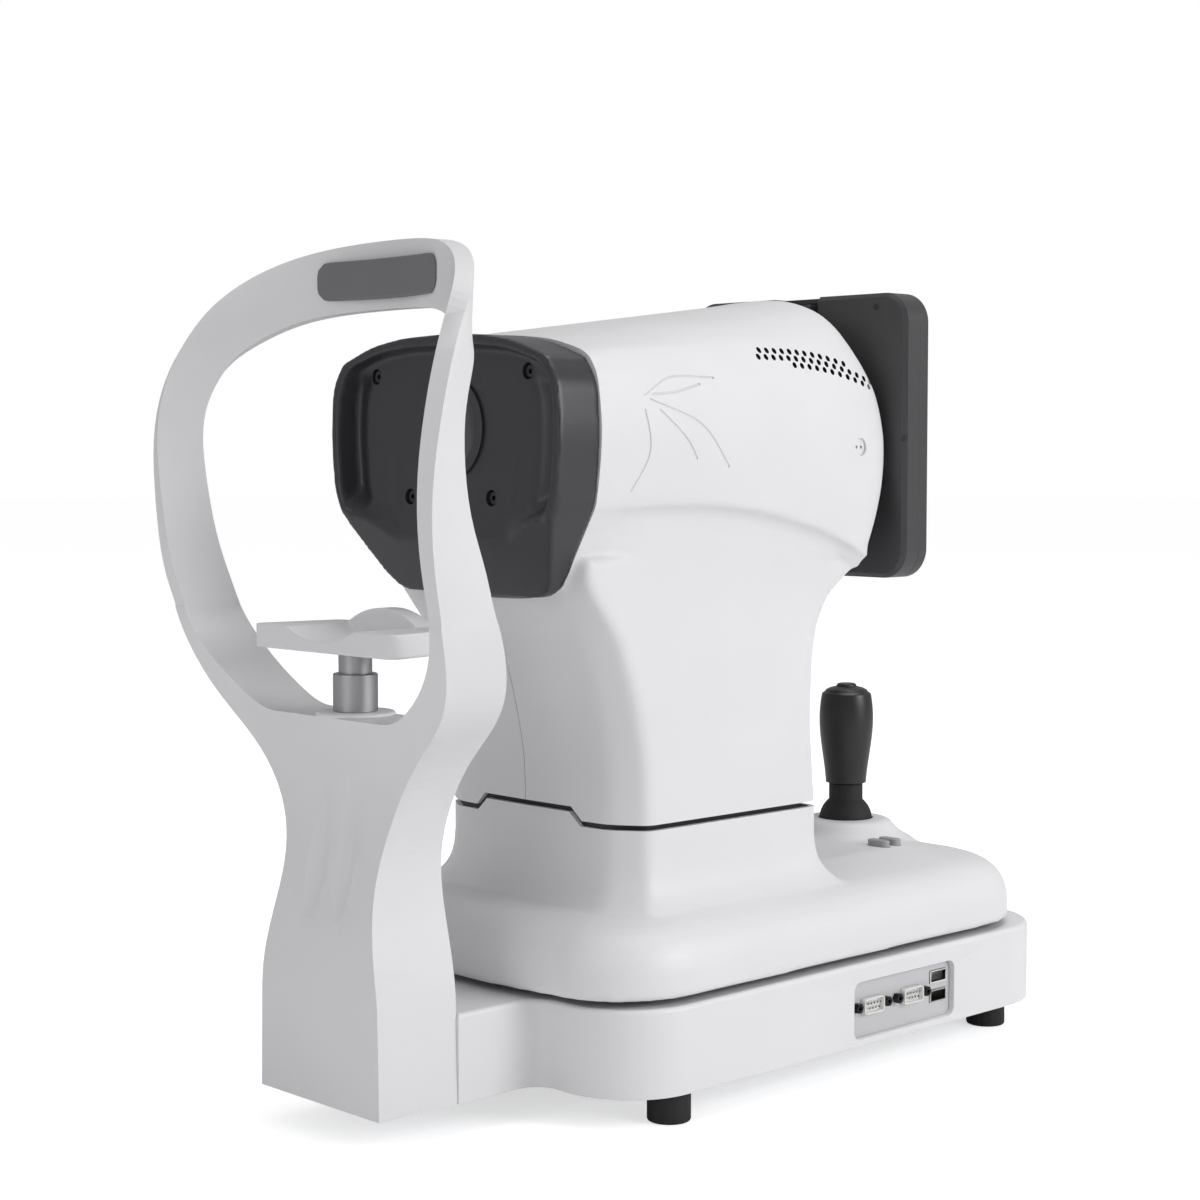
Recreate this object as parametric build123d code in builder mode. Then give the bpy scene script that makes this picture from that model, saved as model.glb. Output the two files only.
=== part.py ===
from build123d import *
from math import atan2, cos, degrees, pi, radians, sin
import os

# Table-top autorefractor. Millimetres, +Z up, origin on the table under the middle of the
# instrument. The patient sits on the -Y side, the operator on the +Y side, and the sockets
# are on the +X side.

# ---------------------------------------------------------------- driving dimensions
# Table and base
foot_height = 17.3
foot_radius = 11.3
front_foot = (97.0, -73.5)          # X, Y of a front foot
rear_foot = (83.5, 207.0)
base_front = -120.0
base_rear = 243.0
base_half_front = 115.0
base_half_rear = 110.0
base_front_radius = 42.0
base_rear_radius = 48.0
base_top = 62.5
base_wall = 3.0
base_top_fillet = 2.5
tongue_half = 49.5
tongue_fillet = 12.0
plate_thickness = 3.0
seat_clearance = 0.2                # static parts that stand beside each other

# Chinrest frame
post_front = -222.0
post_depth = 49.0
post_half = 48.6
waist_half = 38.0
waist_height = 136.0
crotch_height = 209.0               # floor of the face opening
arm_start = 259.0                   # height where the arms begin to twist
arm_thickness = 9.0
arch_top = 445.0
post_wall = 4.0
flute_x = 11.0
flute_half_length = 46.5
flute_radius = 17.2
flute_end_radius = 9.7
flute_lean = 0.053

# Chinrest
chin_axis = -197.5
chin_rod_radius = 8.4
chin_collar_radius = 11.2
chin_collar_top = 230.0
chin_cup_half = 58.0
chin_cup_depth = 50.0
chin_cup_bottom = 241.0
chin_cup_height = 12.0
chin_travel_down = 8.0
chin_screw_radius = 3.0

# Stage
cover_gap = 3.5                     # between the base's top and the stage cover's skirt
cover_front = -130.0
cover_front_bow = 20.0
cover_rear = 231.0
cover_half_front = 113.0
cover_half_rear = 108.0
cover_corner_front = 40.0
cover_corner_rear = 42.0
shoulder_height = 98.0
shoulder_inset = 8.0
deck_inset = 30.0
deck_height = 110.0
cover_wall = 3.0
lateral_travel = 40.0

# Column and head
column_half = 78.0
column_bevel_x = 18.0
column_bevel_y = 15.5
column_front = -86.0
column_rear = 61.0
seam_height = 145.0
seam_gap = 3.0
seam_step = 7.0
seam_step_half = 33.0
lift_travel = 30.0
head_front = -116.0
head_rear = 123.0
head_wall = 3.0
halves_gap = 0.4
window_height = 352.0
window_radius = 22.0
face_rim = -145.0
face_recess = -136.0

# Display
display_gap = 4.0                   # between the head and the display
display_back_y = head_rear + display_gap
display_thickness = 22.0
display_half = 84.0
display_bottom = 268.0
display_top = 430.0
display_corner = 17.0

# Joystick
stick_y = 176.0
boss_radius = 26.0
boss_top = 117.0
grip_radius = 16.2
dome_radius = 16.0                  # rubber dome around the tilting stick
stick_pivot = 116.5
button_travel = 1.5
key_x = 45.0
print_key_y = 153.5
menu_key_y = 163.5
key_length = 14.6
key_width = 6.6

# Drive
axle_radius = 5.0
axle_height = 44.0
axle_y = -20.0
tooth_module = 1.25
pinion_teeth = 20
rack_x = 92.0
rack_width = 8.0
running_clearance = 0.05            # a shaft in its bore
moving_clearance = 0.5              # covers and brackets that pass each other
lift_screw_radius = 5.0

M3_shank = 1.5


def save(piece, label):
    """Names a finished piece and writes it as its own STEP file."""
    piece.part.label = label
    export_step(piece.part, f"parts/{label}.step")


def footprint(inset=0.0):
    """Outline of the base with its tongue and the foot of the chinrest post."""
    with BuildSketch() as outline:
        with BuildLine():
            Polyline(
                (-base_half_front + inset, base_front + inset),
                (base_half_front - inset, base_front + inset),
                (base_half_rear - inset, base_rear - inset),
                (-base_half_rear + inset, base_rear - inset),
                close=True,
            )
        make_face()
        fillet(outline.vertices().group_by(Axis.Y)[0], base_front_radius - inset)
        fillet(outline.vertices().group_by(Axis.Y)[-1], base_rear_radius - inset)
        tongue_length = base_front + 5 * inset + 10 - post_front - post_depth
        with Locations((0, post_front + post_depth - inset)):
            Rectangle(2 * (tongue_half - inset), tongue_length + inset, align=(Align.CENTER, Align.MIN))
        inner = outline.vertices().filter_by_position(Axis.X, -tongue_half - 1, tongue_half + 1)
        notches = inner.filter_by_position(Axis.Y, base_front, base_front + 2 * inset + 1)
        fillet(notches, tongue_fillet + inset)
    return outline.sketch


def cover_outline(inset=0.0):
    """Plan of the stage cover: a bowed front, rounded corners and sides that taper to the rear."""
    front_corner_y = cover_front + cover_front_bow
    with BuildSketch() as outline:
        with BuildLine():
            ThreePointArc(
                (-cover_half_front + inset, front_corner_y + inset),
                (0, cover_front + inset),
                (cover_half_front - inset, front_corner_y + inset),
            )
            Polyline(
                (cover_half_front - inset, front_corner_y + inset),
                (cover_half_rear - inset, cover_rear - inset),
                (-cover_half_rear + inset, cover_rear - inset),
                (-cover_half_front + inset, front_corner_y + inset),
            )
        make_face()
        fillet(outline.vertices().group_by(Axis.Y)[0], cover_corner_front - inset / 2)
        fillet(outline.vertices().group_by(Axis.Y)[-1], cover_corner_rear - inset / 2)
    return outline.sketch


def column_plan(inset=0.0):
    """Plan of the column: square behind, with broad bevels on its two front corners."""
    with BuildSketch() as plan:
        with Locations((0, column_front + inset)):
            Rectangle(
                2 * (column_half - inset),
                column_rear - column_front - 2 * inset,
                align=(Align.CENTER, Align.MIN),
            )
        front = plan.vertices().group_by(Axis.Y)[0]
        chamfer(front, column_bevel_x, column_bevel_y)
        rear = plan.vertices().group_by(Axis.Y)[-1]
        fillet(rear, 9 - inset)
    return plan.sketch


os.makedirs("parts", exist_ok=True)

# ---------------------------------------------------------------- base
floor_top = foot_height + plate_thickness
well_half = cover_half_rear - lateral_travel   # stays under the cover at both ends of its travel
well_front = axle_y - 42.0
well_rear = axle_y + 42.0
panel_y = 97.0                      # middle of the interface panel
panel_length = 88.0
panel_height = 31.5
panel_z = 36.8
panel_recess = 5.0
side_angle = degrees(atan2(base_half_front - base_half_rear, base_rear - base_front))
side_x = base_half_front - (panel_y - base_front) * sin(radians(side_angle))
panel_plane = Plane(
    origin=(side_x, panel_y, panel_z),
    x_dir=(-sin(radians(side_angle)), cos(radians(side_angle)), 0),
    z_dir=(cos(radians(side_angle)), sin(radians(side_angle)), 0),
)
inlet_y = 120.0                     # power inlet and switch, on the -X side
switch_y = 70.0
power_z = 38.0
power_plane = Plane(
    origin=(-side_x, panel_y, power_z),
    x_dir=(-sin(radians(side_angle)), -cos(radians(side_angle)), 0),
    z_dir=(-cos(radians(side_angle)), sin(radians(side_angle)), 0),
)
inlet_width = 28.0
inlet_height = 20.0
switch_width = 22.0
switch_height = 15.0

with BuildPart() as base_shell:
    with BuildSketch(Plane.XY.offset(foot_height)):
        add(footprint())
    extrude(amount=base_top - foot_height)
    fillet(base_shell.faces().sort_by(Axis.Z)[-1].edges(), base_top_fillet)
    with BuildSketch(Plane.XY.offset(foot_height)):
        add(footprint(base_wall))
    extrude(amount=base_top - base_wall - foot_height, mode=Mode.SUBTRACT)
    with BuildSketch(Plane.XY.offset(base_top - base_wall - 1)):
        with Locations((0, (well_front + well_rear) / 2)):
            RectangleRounded(2 * well_half, well_rear - well_front, 8)
    extrude(amount=base_wall + 2, mode=Mode.SUBTRACT)
    # tray behind the interface panel, then the recess itself
    with BuildSketch(panel_plane.offset(-panel_recess - base_wall)):
        RectangleRounded(panel_length + 6, panel_height + 1, 6)
    extrude(amount=panel_recess + base_wall - 1)
    with BuildSketch(panel_plane.offset(-panel_recess)):
        RectangleRounded(panel_length, panel_height, 5)
    extrude(amount=panel_recess + 2, mode=Mode.SUBTRACT)
    with BuildSketch(panel_plane.offset(-panel_recess - base_wall - 1)):
        Rectangle(panel_length - 4, panel_height - 4)
    extrude(amount=base_wall + 3, mode=Mode.SUBTRACT)
    with BuildSketch(power_plane.offset(-base_wall - 4)):
        with Locations((panel_y - inlet_y, 0)):
            Rectangle(inlet_width, inlet_height)
        with Locations((panel_y - switch_y, 0)):
            Rectangle(switch_width, switch_height)
    extrude(amount=base_wall + 8, mode=Mode.SUBTRACT)
save(base_shell, "base_shell")

with BuildPart() as base_plate:
    with BuildSketch(Plane.XY.offset(foot_height)):
        add(footprint(base_wall + seat_clearance))
        with Locations((0, post_front + post_depth + seat_clearance)):
            Rectangle(400, 40, align=(Align.CENTER, Align.MAX), mode=Mode.SUBTRACT)
        with Locations((0, post_front + post_wall + seat_clearance)):
            Rectangle(
                2 * (post_half - post_wall - seat_clearance),
                post_depth - post_wall + seat_clearance,
                align=(Align.CENTER, Align.MIN),
            )
    extrude(amount=plate_thickness)
save(base_plate, "base_plate")

with BuildPart() as rubber_feet:
    for foot_x, foot_y in (front_foot, rear_foot):
        for side in (-1, 1):
            with BuildSketch():
                with Locations((side * foot_x, foot_y)):
                    Circle(foot_radius)
            extrude(amount=foot_height)
    chamfer(rubber_feet.faces().group_by(Axis.Z)[0].edges(), 0.8)
save(rubber_feet, "rubber_feet")

# ---------------------------------------------------------------- chinrest frame
# Front view of the lower half: straight foot, waist, then shoulders that open into two arms.
arm_outer = 108.6                   # half width where the arms begin to twist
arm_inner = arm_outer - arm_thickness
with BuildPart() as lower_frame:
    with BuildSketch(Plane.XZ.offset(-post_front + 30)):
        with BuildLine():
            foot_side = Line((post_half, foot_height), (post_half - 1, 66))
            outer = Spline(
                (post_half - 1, 66),
                (waist_half, waist_height),
                (63.5, 189),
                (95, 220),
                (arm_outer, arm_start),
                tangents=[(0, 1), (0.09, 1)],
                tangent_scalars=[1, 1],
            )
            Line((arm_outer, arm_start), (arm_inner, arm_start))
            inner = Spline(
                (arm_inner, arm_start),
                (89, 237),
                (70, 219.5),
                (44, crotch_height),
                tangents=[(-0.15, -1), (-1, 0)],
                tangent_scalars=[1, 1],
            )
            Line((44, crotch_height), (0, crotch_height))
            Line((0, crotch_height), (0, foot_height))
            Line((0, foot_height), (post_half, foot_height))
        make_face()
        mirror(about=Plane.YZ)
    extrude(amount=-110)
    # side view: upright foot, hollowed front, then arms that lean towards the patient
    with BuildSketch(Plane.YZ.offset(-140)):
        with BuildLine():
            Line((post_front, foot_height), (post_front, 80))
            Spline(
                (post_front, 80),
                (post_front + 3.3, 113),
                (post_front + 11.5, 156),
                (post_front + 7.5, 205),
                (post_front - 9.6, arm_start),
                tangents=[(0, 1), (-0.25, 1)],
                tangent_scalars=[1, 1],
            )
            Line((post_front - 9.6, arm_start), (post_front + 25, arm_start))
            Spline(
                (post_front + 25, arm_start),
                (post_front + 42.9, 205),
                (post_front + 47.3, 150),
                (post_front + post_depth, 90),
                tangents=[(0.42, -1), (0, -1)],
                tangent_scalars=[1, 1],
            )
            Line((post_front + post_depth, 90), (post_front + post_depth, foot_height))
            Line((post_front + post_depth, foot_height), (post_front, foot_height))
        make_face()
    extrude(amount=280, mode=Mode.INTERSECT)

# Stations of the twisting ribbon, from an arm's start to the middle of the top bar:
# centre, the direction from the front edge to the back edge, and the width.
ribbon = [
    ((104.1, post_front + 7.7, arm_start), (0, 1, 0), 34.6),
    ((106.0, post_front + 0.8, 281), (-0.03, 1, 0.25), 30.6),
    ((106.0, post_front - 4.2, 302), (-0.12, 1, 0.15), 27.8),
    ((106.4, post_front - 6.9, 324), (-0.24, 1, 0.05), 25.4),
    ((107.6, post_front - 7.2, 346), (-0.38, 1, -0.05), 23.8),
    ((107.2, post_front - 3.6, 367), (-0.5, 1, -0.2), 23.6),
    ((102.8, post_front + 5.5, 388), (-0.6, 0.92, -0.45), 25.0),
    ((90.0, post_front + 19.5, 407), (-0.6, 0.45, -0.72), 29.0),
    ((63.0, post_front + 37.0, 421.5), (-0.2, 0.08, -0.98), 32.0),
    ((32.0, post_front + 48.5, 426.8), (-0.05, 0.0, -1), 33.5),
]
top_middle = ((0.0, post_front + 53.0, arch_top - 17), (0, 0, -1), 34.0)


def mirrored_station(station):
    """The same station on the other arm."""
    centre, width_direction, width = station
    return ((-centre[0], *centre[1:]), (-width_direction[0], *width_direction[1:]), width)


stations = ribbon + [top_middle] + [mirrored_station(s) for s in reversed(ribbon)]
with BuildPart() as chinrest_frame:
    for index, (centre, width_direction, width) in enumerate(stations):
        if index in (0, len(stations) - 1):
            along = Vector(0, 0, 1 if index == 0 else -1)
        else:
            along = Vector(*stations[index + 1][0]) - Vector(*stations[index - 1][0])
        across = along.cross(Vector(*width_direction))
        lengthwise = across.cross(along)
        with BuildSketch(Plane(origin=centre, x_dir=lengthwise, z_dir=along)):
            Rectangle(width, arm_thickness)
    loft()
    add(lower_frame.part)
    # hollow foot, cable way into the tongue, and the guide bore of the chinrest's rod
    with BuildSketch(Plane.XY.offset(foot_height)):
        with Locations((0, post_front + post_wall)):
            Rectangle(
                2 * (post_half - post_wall),
                post_depth - 2 * post_wall,
                align=(Align.CENTER, Align.MIN),
            )
    extrude(amount=62, mode=Mode.SUBTRACT)
    with BuildSketch(Plane.XY.offset(foot_height)):
        with Locations((0, post_front + post_depth - post_wall)):
            Rectangle(2 * (waist_half - 6), 30, align=(Align.CENTER, Align.MAX))
    extrude(amount=128, mode=Mode.SUBTRACT)
    with BuildSketch(Plane.XY.offset(foot_height)):
        with Locations((0, post_front + post_depth)):
            Rectangle(2 * (post_half - post_wall), 3 * post_wall)
    extrude(amount=base_top - base_wall - foot_height, mode=Mode.SUBTRACT)
    with BuildSketch(Plane.XY.offset(crotch_height + 1)):
        with Locations((0, chin_axis)):
            Circle(chin_rod_radius + moving_clearance)
    extrude(amount=-80, mode=Mode.SUBTRACT)
    # two shallow lens-shaped flutes beside the ridge down the front
    for side in (-1, 1):
        flute_middle = (side * flute_x, post_front - 4.5, 156)
        with BuildSketch(Plane(flute_middle, x_dir=(0, 1, -flute_lean), z_dir=(1, 0, 0))):
            with BuildLine():
                ThreePointArc(
                    (flute_end_radius, -flute_half_length),
                    (flute_radius, 0),
                    (flute_end_radius, flute_half_length),
                )
                Polyline(
                    (flute_end_radius, flute_half_length),
                    (0, flute_half_length),
                    (0, -flute_half_length),
                    (flute_end_radius, -flute_half_length),
                )
            make_face()
        revolve(axis=Axis(flute_middle, (0, flute_lean, 1)), mode=Mode.SUBTRACT)
save(chinrest_frame, "chinrest_frame")

# ---------------------------------------------------------------- forehead pad
pad_half = 48.0
pad_height = 20.0
pad_face_end = 37.5
pad_back_end = 50.0
pad_back_middle = 53.0
pad_depth = 10.5
pad_z = 426.0
with BuildPart() as pad_blank:
    with BuildSketch(Plane.XY.offset(pad_z - pad_height / 2)):
        with BuildLine():
            face = ThreePointArc(
                (-pad_half, post_front + pad_face_end),
                (0, post_front + pad_back_middle - pad_depth),
                (pad_half, post_front + pad_face_end),
            )
            back = ThreePointArc(
                (-pad_half, post_front + pad_back_end),
                (0, post_front + pad_back_middle),
                (pad_half, post_front + pad_back_end),
            )
            Line(face @ 0, back @ 0)
            Line(face @ 1, back @ 1)
        make_face()
    extrude(amount=pad_height)
    with BuildSketch(Plane.XZ.offset(-post_front)):
        with Locations((0, pad_z)):
            RectangleRounded(2 * pad_half, pad_height, 8)
    extrude(amount=-80, mode=Mode.INTERSECT)
    add(chinrest_frame.part, mode=Mode.SUBTRACT)
    # what is left behind the top bar is dropped
    front_piece = pad_blank.solids().sort_by(Axis.Y)[0]
with BuildPart() as forehead_pad:
    add(front_piece)
save(forehead_pad, "forehead_pad")

# ---------------------------------------------------------------- chinrest
flange_radius = 20.0
flange_thickness = 2.0
with BuildPart() as chin_flange:
    with BuildSketch(Plane.XY.offset(crotch_height)):
        with Locations((0, chin_axis)):
            Circle(flange_radius)
            Circle(chin_rod_radius + moving_clearance, mode=Mode.SUBTRACT)
    extrude(amount=flange_thickness)
    chamfer(chin_flange.faces().sort_by(Axis.Z)[-1].edges().sort_by(SortBy.RADIUS)[-1], 0.8)
save(chin_flange, "chin_flange")

with BuildPart() as chin_collar:
    with BuildSketch(Plane.XY.offset(crotch_height + flange_thickness)):
        with Locations((0, chin_axis)):
            Circle(chin_collar_radius)
            Circle(chin_rod_radius + running_clearance, mode=Mode.SUBTRACT)
    extrude(amount=chin_collar_top - crotch_height - flange_thickness)
    chamfer(chin_collar.faces().sort_by(Axis.Z)[-1].edges().sort_by(SortBy.RADIUS)[-1], 0.6)
save(chin_collar, "chin_collar")

rod_bottom = 110.0
screw_bottom = 62.0
screw_top = 190.0
with BuildPart() as chin_rod:
    with BuildSketch(Plane.XY.offset(rod_bottom)):
        with Locations((0, chin_axis)):
            Circle(chin_rod_radius)
    extrude(amount=chin_cup_bottom - rod_bottom)
    with BuildSketch(Plane.XY.offset(rod_bottom)):
        with Locations((0, chin_axis)):
            Circle(chin_screw_radius + running_clearance)
    extrude(amount=screw_top + chin_travel_down + 3 - rod_bottom, mode=Mode.SUBTRACT)
save(chin_rod, "chin_rod")

with BuildPart() as chin_lift_screw:
    with BuildSketch(Plane.XY.offset(screw_bottom)):
        with Locations((0, chin_axis)):
            Circle(chin_screw_radius)
    extrude(amount=screw_top - screw_bottom)
save(chin_lift_screw, "chin_lift_screw")

motor_radius = 13.0
with BuildPart() as chin_lift_motor:
    with BuildSketch(Plane.XY.offset(floor_top)):
        with Locations((0, chin_axis)):
            Circle(motor_radius)
    extrude(amount=screw_bottom - floor_top - 4)
    with BuildSketch(Plane.XY.offset(floor_top)):
        with Locations((0, chin_axis)):
            RectangleRounded(34, 26, 3)
    extrude(amount=3)
save(chin_lift_motor, "chin_lift_motor")

chin_dip_radius = 60.0
chin_dip = 6.4
hump_top = 261.5
cup_front = chin_axis - 22.5
with BuildPart() as chin_cup:
    with BuildSketch(Plane.XY.offset(chin_cup_bottom)) as cup_plan:
        with BuildLine():
            Polyline(
                (-chin_cup_half, cup_front),
                (chin_cup_half, cup_front),
                (chin_cup_half - 10, cup_front + chin_cup_depth),
                (-chin_cup_half + 10, cup_front + chin_cup_depth),
                close=True,
            )
        make_face()
        fillet(cup_plan.vertices(), 6)
    extrude(amount=chin_cup_height)
    cup_top = chin_cup_bottom + chin_cup_height
    with BuildSketch(Plane.XZ.offset(-cup_front + 1)):
        with Locations((0, cup_top - chin_dip + chin_dip_radius)):
            Circle(chin_dip_radius)
    extrude(amount=-chin_cup_depth - 2, mode=Mode.SUBTRACT)
    with BuildSketch(Plane.XZ.offset(-cup_front - chin_cup_depth)):
        with BuildLine():
            ThreePointArc((-34, cup_top - 4), (0, hump_top), (34, cup_top - 4))
            Line((34, cup_top - 4), (-34, cup_top - 4))
        make_face()
    extrude(amount=11)
save(chin_cup, "chin_cup")

# ---------------------------------------------------------------- sockets
def on_panel(y, z, depth):
    """A plane parallel to the interface panel, centred on a point of it, depth behind its rim."""
    along = y - panel_y
    centre = panel_plane.origin + panel_plane.x_dir * along + panel_plane.y_dir * (z - panel_z)
    return Plane(
        origin=centre - panel_plane.z_dir * depth, x_dir=panel_plane.x_dir, z_dir=panel_plane.z_dir
    )


serial_y = (70.5, 105.0)
serial_z = 38.0
jack_spacing = 25.0
usb_y = 130.0
usb_z = (44.5, 33.5)
shell_width, shell_height = 17.0, 8.6
sheet = 1.5
with BuildPart() as interface_plate:
    with BuildSketch(on_panel(panel_y, panel_z, panel_recess)):
        RectangleRounded(panel_length - 0.4, panel_height - 0.4, 4.6)
        for y in serial_y:
            with Locations((y - panel_y, serial_z - panel_z)):
                RectangleRounded(shell_width + 2.4, shell_height + 1.4, 2)
            for side in (-1, 1):
                with Locations((y - panel_y + side * jack_spacing / 2, serial_z - panel_z)):
                    Circle(M3_shank + 0.1, mode=Mode.SUBTRACT)
                with Locations((y - panel_y, serial_z - panel_z)):
                    RectangleRounded(shell_width + 0.4, shell_height + 0.4, 2, mode=Mode.SUBTRACT)
        for z in usb_z:
            with Locations((usb_y - panel_y, z - panel_z)):
                Rectangle(14.9, 7.4, mode=Mode.SUBTRACT)
    extrude(amount=sheet)
save(interface_plate, "interface_plate")

with BuildPart() as serial_connectors:
    for y in serial_y:
        with BuildSketch(on_panel(y, serial_z, panel_recess + 8)):
            RectangleRounded(shell_width, shell_height, 2)
        extrude(amount=8 + sheet + 3.5)
        with BuildSketch(on_panel(y, serial_z, panel_recess - sheet - 0.6)):
            RectangleRounded(shell_width - 1.2, shell_height - 1.2, 1.5)
        extrude(amount=4, mode=Mode.SUBTRACT)
        with BuildSketch(on_panel(y, serial_z, panel_recess - sheet - 0.6)):
            with Locations((0, 1.3)):
                with GridLocations(2.7, 1, 5, 1):
                    Circle(0.55)
            with Locations((0, -1.3)):
                with GridLocations(2.7, 1, 4, 1):
                    Circle(0.55)
        extrude(amount=2.4)
save(serial_connectors, "serial_connectors")

with BuildPart() as jack_screws:
    for y in serial_y:
        for side in (-1, 1):
            with BuildSketch(on_panel(y + side * jack_spacing / 2, serial_z, panel_recess - sheet)):
                RegularPolygon(2.9, 6)
                Circle(1.1, mode=Mode.SUBTRACT)
            extrude(amount=3.5)
            with BuildSketch(on_panel(y + side * jack_spacing / 2, serial_z, panel_recess - sheet)):
                Circle(M3_shank)
            extrude(amount=-6)
save(jack_screws, "jack_screws")

with BuildPart() as usb_ports:
    for z in usb_z:
        with BuildSketch(on_panel(usb_y, z, panel_recess + 10)):
            Rectangle(14.5, 7.0)
        extrude(amount=10 + sheet + 0.8)
        with BuildSketch(on_panel(usb_y, z, panel_recess - sheet - 0.8)):
            Rectangle(13.1, 5.6)
        extrude(amount=-7, mode=Mode.SUBTRACT)
        with BuildSketch(on_panel(usb_y, z + 0.9, panel_recess + 5)):
            Rectangle(11.2, 1.9)
        extrude(amount=5)
save(usb_ports, "usb_ports")

with BuildPart() as interface_board:
    with BuildSketch(Plane.XY.offset(floor_top)):
        with Locations((side_x - 28, panel_y)):
            Rectangle(26, panel_length - 14)
    extrude(amount=1.6)
    with BuildSketch(Plane.XY.offset(floor_top + 1.6)):
        with Locations((side_x - 30, panel_y - 18), (side_x - 30, panel_y + 10)):
            Rectangle(12, 18)
    extrude(amount=4)
save(interface_board, "interface_board")


def on_power_side(y, depth):
    """A plane on the -X side of the base, centred on the power row, depth behind the skin."""
    along = panel_y - y
    centre = power_plane.origin + power_plane.x_dir * along
    return Plane(
        origin=centre - power_plane.z_dir * depth, x_dir=power_plane.x_dir, z_dir=power_plane.z_dir
    )


bezel = 1.6
with BuildPart() as power_inlet:
    with BuildSketch(on_power_side(inlet_y, 0)):
        RectangleRounded(inlet_width + 4, inlet_height + 4, 3)
    extrude(amount=bezel)
    with BuildSketch(on_power_side(inlet_y, 0)):
        Rectangle(inlet_width - 0.4, inlet_height - 0.4)
    extrude(amount=-20)
    with BuildSketch(on_power_side(inlet_y, -bezel)):
        Rectangle(24, 16)
    extrude(amount=-16, mode=Mode.SUBTRACT)
    with BuildSketch(on_power_side(inlet_y, 16)):
        with Locations((-7, -2), (7, -2), (0, 2)):
            Rectangle(2, 4)
    extrude(amount=13)
save(power_inlet, "power_inlet")

rocker_pin_radius = 1.2
rocker_pivot_depth = 1.2
rocker_pin_half = (switch_height - 3.4) / 2 + 1.0
rocker_side = on_power_side(switch_y, 0)
# a level section through the switch, its x along the base and its y outwards
rocker_section = Plane(
    origin=rocker_side.origin, x_dir=rocker_side.x_dir, z_dir=-rocker_side.y_dir
)
with BuildPart() as power_switch_frame:
    with BuildSketch(rocker_side):
        RectangleRounded(switch_width + 4, switch_height + 4, 2)
        Rectangle(switch_width - 3.4, switch_height - 3.4, mode=Mode.SUBTRACT)
    extrude(amount=bezel)
    with BuildSketch(on_power_side(switch_y, 0)):
        Rectangle(switch_width - 0.4, switch_height - 0.4)
        Rectangle(switch_width - 3.4, switch_height - 3.4, mode=Mode.SUBTRACT)
    extrude(amount=-14)
    # seats for the rocker's two pivot pins
    with BuildSketch(rocker_section):
        with Locations((0, -rocker_pivot_depth)):
            Circle(rocker_pin_radius + running_clearance)
    extrude(amount=rocker_pin_half + 0.2, both=True, mode=Mode.SUBTRACT)
save(power_switch_frame, "power_switch_frame")

rocker_half = (switch_width - 3.4) / 2 - 0.5
with BuildPart() as power_rocker:
    with BuildSketch(rocker_section):
        with BuildLine():
            Polyline(
                (-rocker_half, -2.2),
                (-rocker_half + 0.4, 2.2),
                (0, 1.0),
                (rocker_half - 0.4, 2.2),
                (rocker_half, -2.2),
                (0, -8),
                close=True,
            )
        make_face()
    extrude(amount=(switch_height - 3.4) / 2 - 0.4, both=True)
    with BuildSketch(rocker_section):
        with Locations((0, -rocker_pivot_depth)):
            Circle(rocker_pin_radius)
    extrude(amount=rocker_pin_half, both=True)
save(power_rocker, "power_rocker")

with BuildPart() as power_supply:
    with BuildSketch(Plane.XY.offset(floor_top)):
        with Locations((-40, 150)):
            Rectangle(70, 120)
    extrude(amount=30)
save(power_supply, "power_supply")

# ---------------------------------------------------------------- fore-and-aft drive
pitch_radius = tooth_module * pinion_teeth / 2
tooth_pitch = pi * tooth_module
tooth_height = 0.9 * tooth_module
rack_pitch_z = axle_height - pitch_radius
rack_half_length = 40.0
teeth_each_side = 9
with BuildPart() as gear_racks:
    for side in (-1, 1):
        with BuildSketch(Plane.YZ.offset(side * rack_x)):
            with Locations((axle_y, floor_top)):
                Rectangle(
                    2 * rack_half_length,
                    rack_pitch_z - tooth_height - floor_top,
                    align=(Align.CENTER, Align.MIN),
                )
            for tooth in range(-teeth_each_side, teeth_each_side + 1):
                with BuildLine(Plane.XY):
                    middle = axle_y + tooth * tooth_pitch
                    root_z = rack_pitch_z - tooth_height
                    Polyline(
                        (middle - 0.34 * tooth_pitch, root_z),
                        (middle - 0.11 * tooth_pitch, rack_pitch_z + tooth_height),
                        (middle + 0.11 * tooth_pitch, rack_pitch_z + tooth_height),
                        (middle + 0.34 * tooth_pitch, root_z),
                        close=True,
                    )
                make_face()
        extrude(amount=rack_width / 2, both=True)
save(gear_racks, "gear_racks")

pinion_width = 8.0
with BuildPart() as drive_pinions:
    for side in (-1, 1):
        with BuildSketch(Plane.YZ.offset(side * rack_x)):
            with Locations((axle_y, axle_height)):
                Circle(pitch_radius - 1.15 * tooth_module)
                for tooth in range(pinion_teeth):
                    turn = 2 * pi * (tooth + 0.5) / pinion_teeth - pi / 2
                    with BuildLine(Plane.XY):
                        corners = []
                        for radius, share in (
                            (pitch_radius - 1.3 * tooth_module, -0.3),
                            (pitch_radius, -0.2),
                            (pitch_radius + tooth_height, -0.09),
                            (pitch_radius + tooth_height, 0.09),
                            (pitch_radius, 0.2),
                            (pitch_radius - 1.3 * tooth_module, 0.3),
                        ):
                            angle = turn + share * tooth_pitch / radius
                            corner_y = axle_y + radius * cos(angle)
                            corners.append((corner_y, axle_height + radius * sin(angle)))
                        Polyline(*corners, close=True)
                    make_face()
                Circle(axle_radius, mode=Mode.SUBTRACT)
        extrude(amount=pinion_width / 2, both=True)
save(drive_pinions, "drive_pinions")

with BuildPart() as pinion_axle:
    with BuildSketch(Plane.YZ.offset(-rack_x - pinion_width / 2 - 1)):
        with Locations((axle_y, axle_height)):
            Circle(axle_radius)
    extrude(amount=2 * (rack_x + pinion_width / 2 + 1))
save(pinion_axle, "pinion_axle")

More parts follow.
